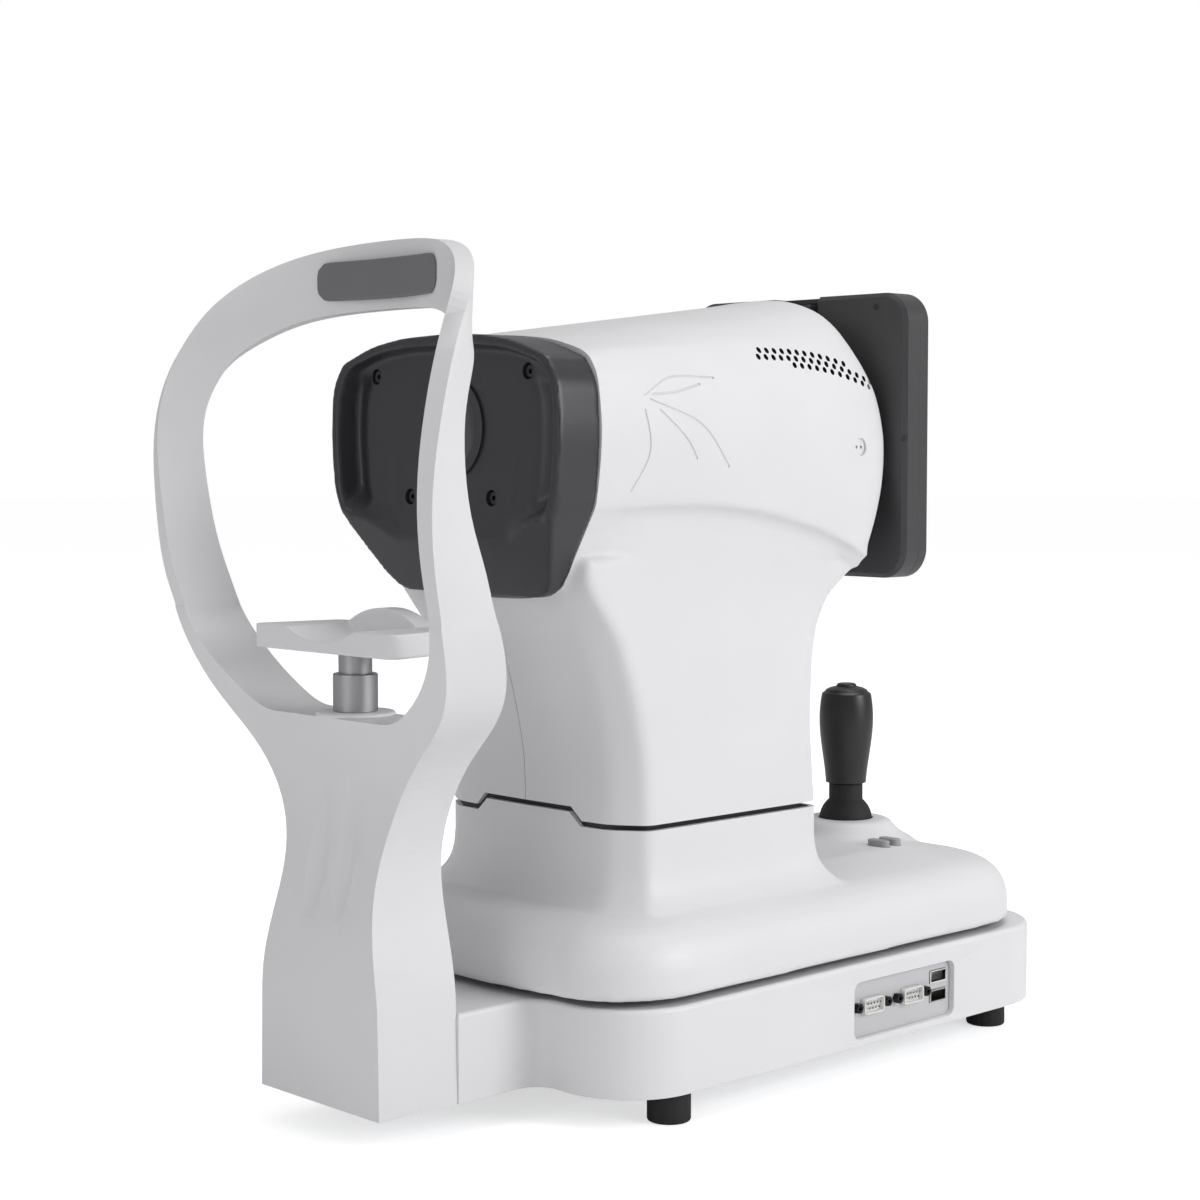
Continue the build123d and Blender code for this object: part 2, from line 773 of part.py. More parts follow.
# Frame that carries the axle in two end bearings and travels with it.
frame_end_x = 80.0
frame_end_width = 10.0
frame_bar_y = 8.0
frame_top = base_top - base_wall - 0.7
with BuildPart() as cross_slide_frame:
    with BuildSketch(Plane.XY.offset(axle_height - 8)):
        with Locations((0, axle_y + 16 + frame_bar_y / 2)):
            Rectangle(2 * frame_end_x + frame_end_width, frame_bar_y)
        for side in (-1, 1):
            with Locations((side * frame_end_x, axle_y + 6)):
                Rectangle(frame_end_width, 30)
    extrude(amount=frame_top - axle_height + 8)
    with BuildSketch(Plane.YZ.offset(-frame_end_x - frame_end_width)):
        with Locations((axle_y, axle_height)):
            Circle(axle_radius + running_clearance)
    extrude(amount=2 * (frame_end_x + frame_end_width), mode=Mode.SUBTRACT)
save(cross_slide_frame, "cross_slide_frame")

# ---------------------------------------------------------------- stage
cover_bottom = base_top + cover_gap
stage_plate_z = cover_bottom + 4
stage_plate_thickness = 5.0
bearing_x = 16.0
bearing_half = 10.0
guide_x = 45.0
guide_y = -10.0
guide_radius = 6.0
lift_y = -10.0
stick_hole_radius = 21.0
with BuildPart() as stage_plate:
    with BuildSketch(Plane.XY.offset(stage_plate_z)):
        with Locations((0, 45)):
            RectangleRounded(180, 300, 20)
        with Locations((0, stick_y)):
            Circle(stick_hole_radius, mode=Mode.SUBTRACT)
    extrude(amount=stage_plate_thickness)
    for side in (-1, 1):
        with BuildSketch(Plane.XY.offset(axle_height - 8)):
            with Locations((side * bearing_x, axle_y)):
                Rectangle(2 * bearing_half, 22)
        extrude(amount=stage_plate_z - axle_height + 8)
    with BuildSketch(Plane.YZ.offset(-60)):
        with Locations((axle_y, axle_height)):
            Circle(axle_radius + running_clearance)
    extrude(amount=120, mode=Mode.SUBTRACT)
save(stage_plate, "stage_plate")
plate_top = stage_plate_z + stage_plate_thickness

sleeve_inset = 5.5


def stage_form(inset):
    """Solid form of the stage cover: skirt, sloping shoulder and the stub under the column."""
    with BuildPart() as form:
        with BuildSketch(Plane.XY.offset(cover_bottom)):
            add(cover_outline(inset))
        with BuildSketch(Plane.XY.offset(shoulder_height - inset)):
            add(cover_outline(shoulder_inset + inset))
        loft()
        with BuildSketch(Plane.XY.offset(shoulder_height - inset)):
            add(cover_outline(shoulder_inset + inset))
        with BuildSketch(Plane.XY.offset(deck_height - inset)):
            add(cover_outline(deck_inset + inset))
        loft()
        with BuildSketch(Plane.XY.offset(cover_bottom)):
            add(column_plan(inset))
        extrude(amount=seam_height - cover_bottom)
    return form.part


with BuildPart() as stage_cover:
    add(stage_form(0))
    # round boss under the joystick, flared into the deck
    with BuildSketch(Plane.XY.offset(deck_height - 2)):
        with Locations((0, stick_y)):
            Circle(boss_radius + 13)
    with BuildSketch(Plane.XY.offset(boss_top)):
        with Locations((0, stick_y)):
            Circle(boss_radius)
    loft()
    # raised tab of the seam in front
    with BuildSketch(Plane.XZ.offset(-column_front - 12)):
        with BuildLine():
            Polyline(
                (-seam_step_half - 8, seam_height - 1),
                (-seam_step_half, seam_height + seam_step),
                (seam_step_half, seam_height + seam_step),
                (seam_step_half + 8, seam_height - 1),
                close=True,
            )
        make_face()
    extrude(amount=12)
    add(stage_form(cover_wall), mode=Mode.SUBTRACT)
    with BuildSketch(Plane.XY.offset(plate_top + 5)):
        add(column_plan(cover_wall))
    extrude(amount=80, mode=Mode.SUBTRACT)
    with BuildSketch(Plane.XY.offset(plate_top + 5)):
        with Locations((0, stick_y)):
            Circle(dome_radius + moving_clearance)
    extrude(amount=60, mode=Mode.SUBTRACT)
    for slot_y in (print_key_y, menu_key_y):
        with BuildSketch(Plane.XY.offset(deck_height - 8)):
            with Locations((key_x, slot_y)):
                SlotOverall(key_length + 2 * moving_clearance, key_width + 2 * moving_clearance)
        extrude(amount=20, mode=Mode.SUBTRACT)
save(stage_cover, "stage_cover")

with BuildPart() as column_sleeve:
    with BuildSketch(Plane.XY.offset(plate_top)):
        add(column_plan(sleeve_inset))
        add(column_plan(sleeve_inset + 1.5), mode=Mode.SUBTRACT)
    extrude(amount=seam_height + seam_gap + lift_travel + 12 - plate_top)
save(column_sleeve, "column_sleeve")

guide_top = 250.0
with BuildPart() as guide_posts:
    for side in (-1, 1):
        with BuildSketch(Plane.XY.offset(plate_top)):
            with Locations((side * guide_x, guide_y)):
                Circle(guide_radius)
        extrude(amount=guide_top - plate_top)
        with BuildSketch(Plane.XY.offset(plate_top)):
            with Locations((side * guide_x, guide_y)):
                Circle(guide_radius + 6)
        extrude(amount=6)
save(guide_posts, "guide_posts")

lift_motor_height = 40.0
with BuildPart() as lift_motor:
    with BuildSketch(Plane.XY.offset(plate_top)):
        with Locations((0, lift_y)):
            RectangleRounded(42, 42, 4)
    extrude(amount=lift_motor_height)
save(lift_motor, "lift_motor")

lift_screw_bottom = plate_top + lift_motor_height + 0.5
lift_screw_top = 245.0
with BuildPart() as lift_screw:
    with BuildSketch(Plane.XY.offset(lift_screw_bottom)):
        with Locations((0, lift_y)):
            Circle(lift_screw_radius)
    extrude(amount=lift_screw_top - lift_screw_bottom)
    with BuildSketch(Plane.XY.offset(lift_screw_bottom)):
        with Locations((0, lift_y)):
            Circle(10)
    extrude(amount=18)
    chamfer(lift_screw.faces().sort_by(Axis.Z)[-1].edges(), 1)
save(lift_screw, "lift_screw")

with BuildPart() as main_board:
    with BuildSketch(Plane.XY.offset(plate_top + 4)):
        with Locations((0, 108)):
            Rectangle(140, 90)
    extrude(amount=1.6)
    with BuildSketch(Plane.XY.offset(plate_top + 5.6)):
        with Locations((-35, 95), (10, 120), (40, 90)):
            Rectangle(24, 20)
    extrude(amount=5)
    for side_x_post in (-64, 64):
        for board_y in (69, 147):
            with BuildSketch(Plane.XY.offset(plate_top)):
                with Locations((side_x_post, board_y)):
                    Circle(2.5)
            extrude(amount=4)
save(main_board, "main_board")

# ---------------------------------------------------------------- joystick
def about_stick(z):
    """A horizontal plane centred on the joystick's axis."""
    return Plane(origin=(0, stick_y, z))


socket_outer = 11.9
socket_inner = 10.4
socket_skirt = 20.0
gimbal_pin = 1.5
with BuildPart() as joystick_socket:
    with BuildSketch(about_stick(plate_top)):
        Circle(26)
        Circle(socket_skirt - 2.5, mode=Mode.SUBTRACT)
    extrude(amount=3)
    with BuildSketch(about_stick(plate_top)):
        Circle(socket_skirt)
        Circle(socket_skirt - 2.5, mode=Mode.SUBTRACT)
    extrude(amount=100 - plate_top)
    with BuildSketch(about_stick(97.5)):
        Circle(socket_skirt)
        Circle(socket_inner, mode=Mode.SUBTRACT)
    extrude(amount=2.5)
    with BuildSketch(about_stick(97.5)):
        Circle(socket_outer)
        Circle(socket_inner, mode=Mode.SUBTRACT)
    extrude(amount=stick_pivot + 4 - 97.5)
    with BuildSketch(Plane.YZ.offset(-30)):
        with Locations((stick_y, stick_pivot)):
            Circle(gimbal_pin + running_clearance)
    extrude(amount=60, mode=Mode.SUBTRACT)
save(joystick_socket, "joystick_socket")

ring_outer = 9.8
ring_inner = 7.2
with BuildPart() as gimbal_ring:
    with BuildSketch(about_stick(stick_pivot - 2.5)):
        Circle(ring_outer)
        Circle(ring_inner, mode=Mode.SUBTRACT)
    extrude(amount=5)
    for side in (-1, 1):
        with BuildSketch(Plane.YZ.offset(side * (ring_outer - 0.6))):
            with Locations((stick_y, stick_pivot)):
                Circle(gimbal_pin)
        extrude(amount=side * 3.4)
    with BuildSketch(Plane.XZ.offset(-stick_y + 15)):
        with Locations((0, stick_pivot)):
            Circle(gimbal_pin + running_clearance)
    extrude(amount=-30, mode=Mode.SUBTRACT)
save(gimbal_ring, "gimbal_ring")

shaft_radius = 4.0
ball_radius = 4.5
ball_z = base_top + 1.0 + ball_radius
shaft_top = 182.0
with BuildPart() as joystick_shaft:
    with BuildSketch(about_stick(ball_z)):
        Circle(shaft_radius - 1)
    extrude(amount=shaft_top - ball_z)
    with BuildSketch(about_stick(stick_pivot - 2.5)):
        Circle(shaft_radius)
    extrude(amount=shaft_top - stick_pivot + 2.5)
    with Locations((0, stick_y, ball_z)):
        Sphere(ball_radius)
    with BuildSketch(Plane.XZ.offset(-stick_y - 9.4)):
        with Locations((0, stick_pivot)):
            Circle(gimbal_pin)
    extrude(amount=18.8)
save(joystick_shaft, "joystick_shaft")

neck_radius = 10.2
neck_top = 138.8
dome_wall = 1.4
with BuildPart() as joystick_dome:
    with BuildSketch(Plane.YZ) as dome_half:
        with Locations((stick_y, stick_pivot)):
            Circle(dome_radius)
            Circle(dome_radius - dome_wall, mode=Mode.SUBTRACT)
        with Locations((stick_y, stick_pivot - 4)):
            Rectangle(60, 40, align=(Align.CENTER, Align.MAX), mode=Mode.SUBTRACT)
        with Locations((stick_y, 126)):
            Rectangle(2 * neck_radius, neck_top - 126, align=(Align.CENTER, Align.MIN))
        with Locations((stick_y, stick_pivot)):
            Rectangle(2 * (shaft_radius + seat_clearance), 60, mode=Mode.SUBTRACT)
        with Locations((stick_y, stick_pivot)):
            Rectangle(60, 80, align=(Align.MAX, Align.CENTER), mode=Mode.SUBTRACT)
    revolve(axis=Axis((0, stick_y, 0), (0, 0, 1)))
save(joystick_dome, "joystick_dome")

grip_bottom = neck_top + 0.4
grip_shoulder = 193.5
button_radius = 6.0
with BuildPart() as joystick_grip:
    with BuildSketch(Plane.YZ):
        with BuildLine():
            side_line = Spline(
                (stick_y + 12.2, grip_bottom),
                (stick_y + 13.7, 153),
                (stick_y + grip_radius, 175),
                (stick_y + 14.8, grip_shoulder),
                tangents=[(0.05, 1), (-0.2, 1)],
                tangent_scalars=[1, 1],
            )
            Polyline(
                (stick_y + 14.8, grip_shoulder),
                (stick_y + 12.6, grip_shoulder + 1.6),
                (stick_y + 12.6, grip_shoulder + 2.2),
                (stick_y + 10.2, grip_shoulder + 3.4),
                (stick_y + button_radius + 0.4, grip_shoulder + 4.4),
                (stick_y + button_radius + 0.4, shaft_top + 1),
                (stick_y + shaft_radius + running_clearance, shaft_top + 1),
                (stick_y + shaft_radius + running_clearance, grip_bottom),
                (stick_y + 12.2, grip_bottom),
            )
        make_face()
    revolve(axis=Axis((0, stick_y, 0), (0, 0, 1)))
save(joystick_grip, "joystick_grip")

button_top = 199.7
with BuildPart() as trigger_button:
    with BuildSketch(about_stick(shaft_top + 1 + button_travel + 1)):
        Circle(button_radius)
    extrude(amount=button_top - shaft_top - button_travel - 2)
    fillet(trigger_button.faces().sort_by(Axis.Z)[-1].edges(), 1.6)
save(trigger_button, "trigger_button")

for key_name, key_y in (("print_button", print_key_y), ("menu_button", menu_key_y)):
    with BuildPart() as key:
        with BuildSketch(Plane.XY.offset(deck_height - 6)):
            with Locations((key_x, key_y)):
                SlotOverall(key_length, key_width)
        extrude(amount=7.6)
        fillet(key.faces().sort_by(Axis.Z)[-1].edges(), 0.8)
    save(key, key_name)

# ---------------------------------------------------------------- measuring head: covers
def mirrored_face(half, plane, inset=0.0):
    """Closed outline drawn from its right half, listed from top to bottom."""
    with BuildSketch(plane) as outline:
        with BuildLine():
            Polyline(*half, *[(-x, z) for x, z in reversed(half)], close=True)
        make_face()
        if inset:
            offset(amount=-inset, kind=Kind.INTERSECTION)
    return outline.sketch


def head_form(inset):
    """The head tapering from the face plate back to the display, on its flared column."""
    front_half = [
        (25, 399), (66, 396.5), (92.5, 372), (92.5, 345), (87, 310), (72, 280), (57, 266)
    ]
    rear_half = [
        (25, 430), (61, 404), (78, 362), (78, 342), (76, 318), (70, 284), (60, 268)
    ]
    column_stations = [
        (seam_height + seam_gap, -84.5, -69, 63),
        (180, -86, -71, 60),
        (206, -91.5, -76, 59.5),
        (224, -97, -82, 61.5),
        (245, -104, -90, 66),
        (262, -114, -104, 80),
        (278, -116, -110, 118),
        (296, -116, -112, 119),
    ]
    front_crease = column_half - column_bevel_x
    with BuildPart() as taper:
        add(mirrored_face(front_half, Plane.XZ.offset(-head_front - inset), inset))
        add(mirrored_face(rear_half, Plane.XZ.offset(-head_rear + inset), inset))
        loft(ruled=True)
    with BuildPart() as neck:
        for z, front, bevel, rear in column_stations:
            half = [
                (front_crease - inset, front + inset),
                (column_half - inset, bevel + inset),
                (column_half - inset, rear - inset),
            ]
            add(mirrored_face(half, Plane.XY.offset(z)))
        loft(ruled=True)
    with BuildPart() as form:
        add(taper.part)
        add(neck.part)
    return form.part


bench_z = 298.0
bench_thickness = 6.0
bench_half = 66.0
bench_front = -100.0
bench_rear = 96.0
# cooling holes: count, first hole and height of each row, which bends down towards the rear
vent_radius = 1.7
vent_pitch = 6.3
vent_rows = ((12, 18.4, 394), (16, 15.3, 390.3), (11, 43.6, 386.6))
vent_bend_y = 40.0
vent_bend = 420.0
plug_y = 92.0
plug_z = 342.5
plug_radius = 5.0
with BuildPart() as head_shell:
    add(head_form(0))
    add(head_form(head_wall), mode=Mode.SUBTRACT)
    with BuildSketch(Plane.XY.offset(seam_height + seam_gap)):
        add(column_plan(0))
        offset(amount=-head_wall)
    extrude(amount=20, mode=Mode.SUBTRACT)
    # notch over the raised tab of the seam
    with BuildSketch(Plane.XZ.offset(-column_front + 20)):
        with BuildLine():
            Polyline(
                (-seam_step_half - 11, seam_height),
                (-seam_step_half - 1, seam_height + seam_step + seam_gap),
                (seam_step_half + 1, seam_height + seam_step + seam_gap),
                (seam_step_half + 11, seam_height),
                close=True,
            )
        make_face()
    extrude(amount=-40, mode=Mode.SUBTRACT)
    # window towards the face plate
    with BuildSketch(Plane.XZ.offset(-head_front + 10)):
        with Locations((0, window_height)):
            Rectangle(110, 64)
    extrude(amount=-30, mode=Mode.SUBTRACT)
    # cooling holes in the upper flanks
    with BuildSketch(Plane.YZ.offset(-100)):
        for count, first_y, row_z in vent_rows:
            for i in range(count):
                vent_y = first_y + i * vent_pitch
                with Locations((vent_y, row_z - max(vent_y - vent_bend_y, 0) ** 2 / vent_bend)):
                    Circle(vent_radius)
        with Locations((plug_y, plug_z)):
            Circle(plug_radius)
    extrude(amount=200, mode=Mode.SUBTRACT)
    # ledges that rest on the optical bench
    for side in (-1, 1):
        for ledge_y, reach in ((-80, 82), (70, 75)):
            with BuildSketch(Plane.XY.offset(bench_z + bench_thickness)):
                with Locations((side * (reach + 56) / 2, ledge_y)):
                    Rectangle(reach - 56, 16)
            extrude(amount=5)

for cover_name, side in (("head_cover_left", -1), ("head_cover_right", 1)):
    with BuildPart() as head_cover:
        add(head_shell.part)
        with BuildSketch(Plane.XY.offset(100)):
            with Locations((side * halves_gap / 2, 0)):
                Rectangle(
                    200, 600, align=(Align.MIN if side > 0 else Align.MAX, Align.CENTER)
                )
        extrude(amount=400, mode=Mode.INTERSECT)
    save(head_cover, cover_name)

with BuildPart() as side_plugs:
    for side in (-1, 1):
        with BuildSketch(Plane.YZ.offset(side * 76.5)):
            with Locations((plug_y, plug_z)):
                Circle(plug_radius - running_clearance)
                with Locations((-2, 0), (2, 0)):
                    Circle(0.9, mode=Mode.SUBTRACT)
        extrude(amount=side * 3.2)
save(side_plugs, "side_plugs")

# ---------------------------------------------------------------- measuring head: face
ring_outer_radius = 27.0
face_wall = 3.0
face_back_half = [
    (55, 396), (75, 391), (89.4, 375.7), (92.2, 355), (90, 326), (87, 312.6), (76.4, 296), (57, 266)
]
face_front_half = [
    (50, 398), (66, 388), (86, 378), (92, 345), (90, 326), (87, 312), (66, 288), (60, 268)
]
screw_well_radius = 4.2
screw_well_depth = 3.4
screw_spots = [(60.5, 379.4), (-60.5, 379.4), (32.5, 316.4), (-32.5, 316.4)]
with BuildPart() as face_plate:
    add(mirrored_face(face_back_half, Plane.XZ.offset(-head_front)))
    add(mirrored_face(face_front_half, Plane.XZ.offset(-face_rim)))
    loft(ruled=True)
    # chin side slopes back under the rim
    with BuildSketch(Plane.YZ.offset(-100)):
        with BuildLine():
            Polyline((face_rim - 1, 311), (face_rim - 1, 260), (-119, 260), (-119, 266), close=True)
        make_face()
    extrude(amount=200, mode=Mode.SUBTRACT)
    # hollow behind, down to the front wall
    with BuildSketch(Plane.XZ.offset(-head_front)) as hollow:
        with BuildLine():
            hollow_half = [(52, 392), (72, 387), (84, 374), (86, 345), (84, 326), (80, 316)]
            Polyline(*hollow_half, *[(-x, z) for x, z in reversed(hollow_half)], close=True)
        make_face()
    extrude(amount=-face_recess + head_front - face_wall, mode=Mode.SUBTRACT)
    # bosses behind the screws
    with BuildSketch(Plane.XZ.offset(-face_recess - face_wall)):
        with Locations(*screw_spots):
            Circle(screw_well_radius + 2)
    extrude(amount=-screw_well_depth)
    # recessed field inside the rim
    with BuildSketch(Plane.XZ.offset(-face_recess)) as field:
        with BuildLine():
            field_half = [(40, 391), (60, 385), (70, 376), (66, 345), (55, 312), (50, 306)]
            Polyline(*field_half, *[(-x, z) for x, z in reversed(field_half)], close=True)
        make_face()
        fillet(field.vertices(), 4)
    extrude(amount=20, mode=Mode.SUBTRACT)
    with BuildSketch(Plane.XZ.offset(-face_recess + 20)):
        with Locations((0, window_height)):
            Circle(window_radius + 3)
        with Locations(*screw_spots):
            Circle(M3_shank + running_clearance)
    extrude(amount=-40, mode=Mode.SUBTRACT)
    with BuildSketch(Plane.XZ.offset(-face_recess)):
        with Locations(*screw_spots):
            Circle(screw_well_radius)
    extrude(amount=-screw_well_depth, mode=Mode.SUBTRACT)
save(face_plate, "face_plate")

screw_seat = face_recess + screw_well_depth
with BuildPart() as face_plate_screws:
    with BuildSketch(Plane.XZ.offset(-screw_seat)):
        with Locations(*screw_spots):
            Circle(3.2)
            RegularPolygon(1.4, 6, mode=Mode.SUBTRACT)
    extrude(amount=2.0)
    with BuildSketch(Plane.XZ.offset(-screw_seat)):
        with Locations(*screw_spots):
            Circle(M3_shank)
    extrude(amount=-7)
save(face_plate_screws, "face_plate_screws")

with BuildPart() as window_ring:
    with BuildSketch(Plane.XZ.offset(-face_recess)):
        with Locations((0, window_height)):
            Circle(ring_outer_radius)
            Circle(window_radius - 1, mode=Mode.SUBTRACT)
    extrude(amount=1.6)
    with BuildSketch(Plane.XZ.offset(-face_recess)):
        with Locations((0, window_height)):
            Circle(window_radius + 3 - seat_clearance)
            Circle(window_radius, mode=Mode.SUBTRACT)
    extrude(amount=-6)
save(window_ring, "window_ring")

with BuildPart() as front_window:
    with BuildSketch(Plane.XZ.offset(-face_recess)):
        with Locations((0, window_height)):
            Circle(window_radius - seat_clearance)
    extrude(amount=-2.0)
save(front_window, "front_window")

led_plane = face_recess + face_wall + 3.5
with BuildPart() as led_ring:
    with BuildSketch(Plane.XZ.offset(-led_plane)):
        with Locations((0, window_height)):
            Circle(36)
            Circle(17, mode=Mode.SUBTRACT)
    extrude(amount=-1.6)
    with BuildSketch(Plane.XZ.offset(-led_plane)):
        with Locations((0, window_height)):
            with PolarLocations(19.3, 8):
                Circle(1.5)
    extrude(amount=2.0)
save(led_ring, "led_ring")

# ---------------------------------------------------------------- measuring head: optics
barrel_front = led_plane + 2.0
barrel_rear = -40.0
barrel_radius = 20.0
lens_radius = 17.0
with BuildPart() as objective_barrel:
    with BuildSketch(Plane.XZ.offset(-barrel_front)):
        with Locations((0, window_height)):
            Circle(barrel_radius)
    extrude(amount=barrel_front - barrel_rear)
    with BuildSketch(Plane.XZ.offset(-barrel_front)):
        with Locations((0, window_height)):
            Circle(lens_radius)
    extrude(amount=barrel_front - barrel_rear, mode=Mode.SUBTRACT)
    # foot that stands on the bench
    with BuildSketch(Plane.XZ.offset(90)):
        with Locations((0, bench_z + bench_thickness)):
            Rectangle(34, window_height - bench_z - bench_thickness, align=(Align.CENTER, Align.MIN))
        with Locations((0, window_height)):
            Circle(lens_radius, mode=Mode.SUBTRACT)
    extrude(amount=-40)
save(objective_barrel, "objective_barrel")

with BuildPart() as objective_lens:
    with BuildSketch(Plane.XZ.offset(110)):
        with Locations((0, window_height)):
            Circle(lens_radius)
    extrude(amount=-7)
save(objective_lens, "objective_lens")

with BuildPart() as optical_bench:
    with BuildSketch(Plane.XY.offset(bench_z)):
        with Locations((0, bench_front)):
            Rectangle(2 * bench_half, bench_rear - bench_front, align=(Align.CENTER, Align.MIN))
    extrude(amount=bench_thickness)
save(optical_bench, "optical_bench")

with BuildPart() as beam_splitter:
    with BuildSketch(Plane.XY.offset(bench_z + bench_thickness)):
        with Locations((0, -10)):
            Rectangle(36, 36)
    extrude(amount=window_height - bench_z - bench_thickness - 20)
    with BuildSketch(Plane.XY.offset(window_height - 20)):
        with Locations((0, -10)):
            Rectangle(34, 34)
    extrude(amount=36)
save(beam_splitter, "beam_splitter")

with BuildPart() as camera_module:
    with BuildSketch(Plane.XZ.offset(-50)):
        with Locations((0, bench_z + bench_thickness)):
            Rectangle(44, 74, align=(Align.CENTER, Align.MIN))
    extrude(amount=-30)
    with BuildSketch(Plane.XZ.offset(-50)):
        with Locations((0, window_height)):
            Circle(14)
    extrude(amount=35)
save(camera_module, "camera_module")

with BuildPart() as fixation_unit:
    with BuildSketch(Plane.XY.offset(bench_z + bench_thickness)):
        with Locations((46, -10)):
            Rectangle(30, 44)
    extrude(amount=60)
    with BuildSketch(Plane.YZ.offset(31)):
        with Locations((-10, window_height)):
            Circle(9)
    extrude(amount=-12)
save(fixation_unit, "fixation_unit")

carriage_bottom = 195.0
carriage_top = 225.0
with BuildPart() as lift_carriage:
    with BuildSketch(Plane.XY.offset(carriage_bottom)):
        with Locations((0, lift_y)):
            Rectangle(128, 34)
    extrude(amount=carriage_top - carriage_bottom)
    for side in (-1, 1):
        with BuildSketch(Plane.XY.offset(carriage_top)):
            with Locations((side * 60, lift_y)):
                Rectangle(8, 34)
        extrude(amount=bench_z - carriage_top)
    with BuildSketch(Plane.XY.offset(carriage_bottom)):
        with Locations((0, lift_y)):
            Circle(lift_screw_radius + running_clearance)
        with Locations((guide_x, guide_y), (-guide_x, guide_y)):
            Circle(guide_radius + running_clearance)
    extrude(amount=carriage_top - carriage_bottom, mode=Mode.SUBTRACT)
save(lift_carriage, "lift_carriage")

# ---------------------------------------------------------------- display
hinge_y = display_back_y + 9.5
hinge_z = display_top - 9.0
hinge_radius = 3.0
knuckle_radius = 4.5
slot_half = 18.0
slot_bottom = 376.0
slot_depth = 16.6
slot_floor = 1.6
shell_wall = 3.0
display_centre_z = (display_top + display_bottom) / 2
display_height = display_top - display_bottom
split_y = display_back_y + 13.0
display_front = display_back_y + display_thickness


with BuildPart() as display_bracket:
    with BuildSketch(Plane.YZ.offset(-15)) as knuckle:
        with BuildLine():
            Polyline(
                (head_rear, 386),
                (head_rear + 3, 386),
                (head_rear + 4, 411),
                (hinge_y, hinge_z - knuckle_radius),
                (hinge_y, hinge_z + knuckle_radius),
                (head_rear, hinge_z + knuckle_radius),
                close=True,
            )
        make_face()
        with Locations((hinge_y, hinge_z)):
            Circle(knuckle_radius)
        with Locations((hinge_y, hinge_z)):
            Circle(hinge_radius + running_clearance, mode=Mode.SUBTRACT)
    extrude(amount=30)
save(display_bracket, "display_bracket")

with BuildPart() as display_hinge_pin:
    with BuildSketch(Plane.YZ.offset(-26)):
        with Locations((hinge_y, hinge_z)):
            Circle(hinge_radius)
    extrude(amount=52)
save(display_hinge_pin, "display_hinge_pin")

with BuildPart() as display_back:
    with BuildSketch(Plane.XZ.offset(-display_back_y)):
        with Locations((0, display_centre_z)):
            RectangleRounded(2 * display_half, display_height, display_corner)
    extrude(amount=-(split_y - display_back_y))
    chamfer(display_back.faces().sort_by(Axis.Y)[0].edges(), 2.5)
    with BuildSketch(Plane.XZ.offset(-display_back_y - 2.5)):
        with Locations((0, display_centre_z)):
            RectangleRounded(2 * display_half - 6, display_height - 6, display_corner - 3)
    extrude(amount=-40, mode=Mode.SUBTRACT)
    # walls of the hinge slot
    with BuildSketch(Plane.XZ.offset(-display_back_y - 0.5)):
        with Locations((0, display_top - shell_wall - seat_clearance)):
            Rectangle(56, display_top - slot_bottom, align=(Align.CENTER, Align.MAX))
    extrude(amount=-slot_depth + 0.5)
    with BuildSketch(Plane.XZ.offset(-display_back_y + 1)):
        with Locations((0, display_top + 1)):
            Rectangle(2 * slot_half, display_top - slot_bottom, align=(Align.CENTER, Align.MAX))
    extrude(amount=-slot_depth + slot_floor - 1, mode=Mode.SUBTRACT)
    with BuildSketch(Plane.YZ.offset(-26)):
        with Locations((hinge_y, hinge_z)):
            Circle(hinge_radius)
    extrude(amount=52, mode=Mode.SUBTRACT)
save(display_back, "display_back")

screen_width = 144.0
screen_height = 112.0
screen_z = display_centre_z + 4
with BuildPart() as display_bezel:
    with BuildSketch(Plane.XZ.offset(-split_y)):
        with Locations((0, display_centre_z)):
            RectangleRounded(2 * display_half, display_height, display_corner)
    extrude(amount=-(display_front - split_y))
    chamfer(display_bezel.faces().sort_by(Axis.Y)[-1].edges(), 2)
    with BuildSketch(Plane.XZ.offset(-split_y)):
        with Locations((0, display_centre_z)):
            RectangleRounded(2 * display_half - 6, display_height - 6, display_corner - 3)
    extrude(amount=-(display_front - split_y - 2.5), mode=Mode.SUBTRACT)
    with BuildSketch(Plane.XZ.offset(-display_front + 5)):
        with Locations((0, screen_z)):
            RectangleRounded(screen_width, screen_height, 2)
    extrude(amount=-10, mode=Mode.SUBTRACT)
save(display_bezel, "display_bezel")

with BuildPart() as lcd_panel:
    with BuildSketch(Plane.XZ.offset(-display_front + 2.5)):
        with Locations((0, screen_z)):
            Rectangle(screen_width + 8, screen_height + 8)
    extrude(amount=2.4)
    with BuildSketch(Plane.XZ.offset(-display_front + 2.5)):
        with Locations((0, screen_z)):
            RectangleRounded(
                screen_width - 2 * seat_clearance, screen_height - 2 * seat_clearance, 2
            )
    extrude(amount=-1.3)
save(lcd_panel, "lcd_panel")
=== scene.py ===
from math import cos, pi, radians, sin, sqrt

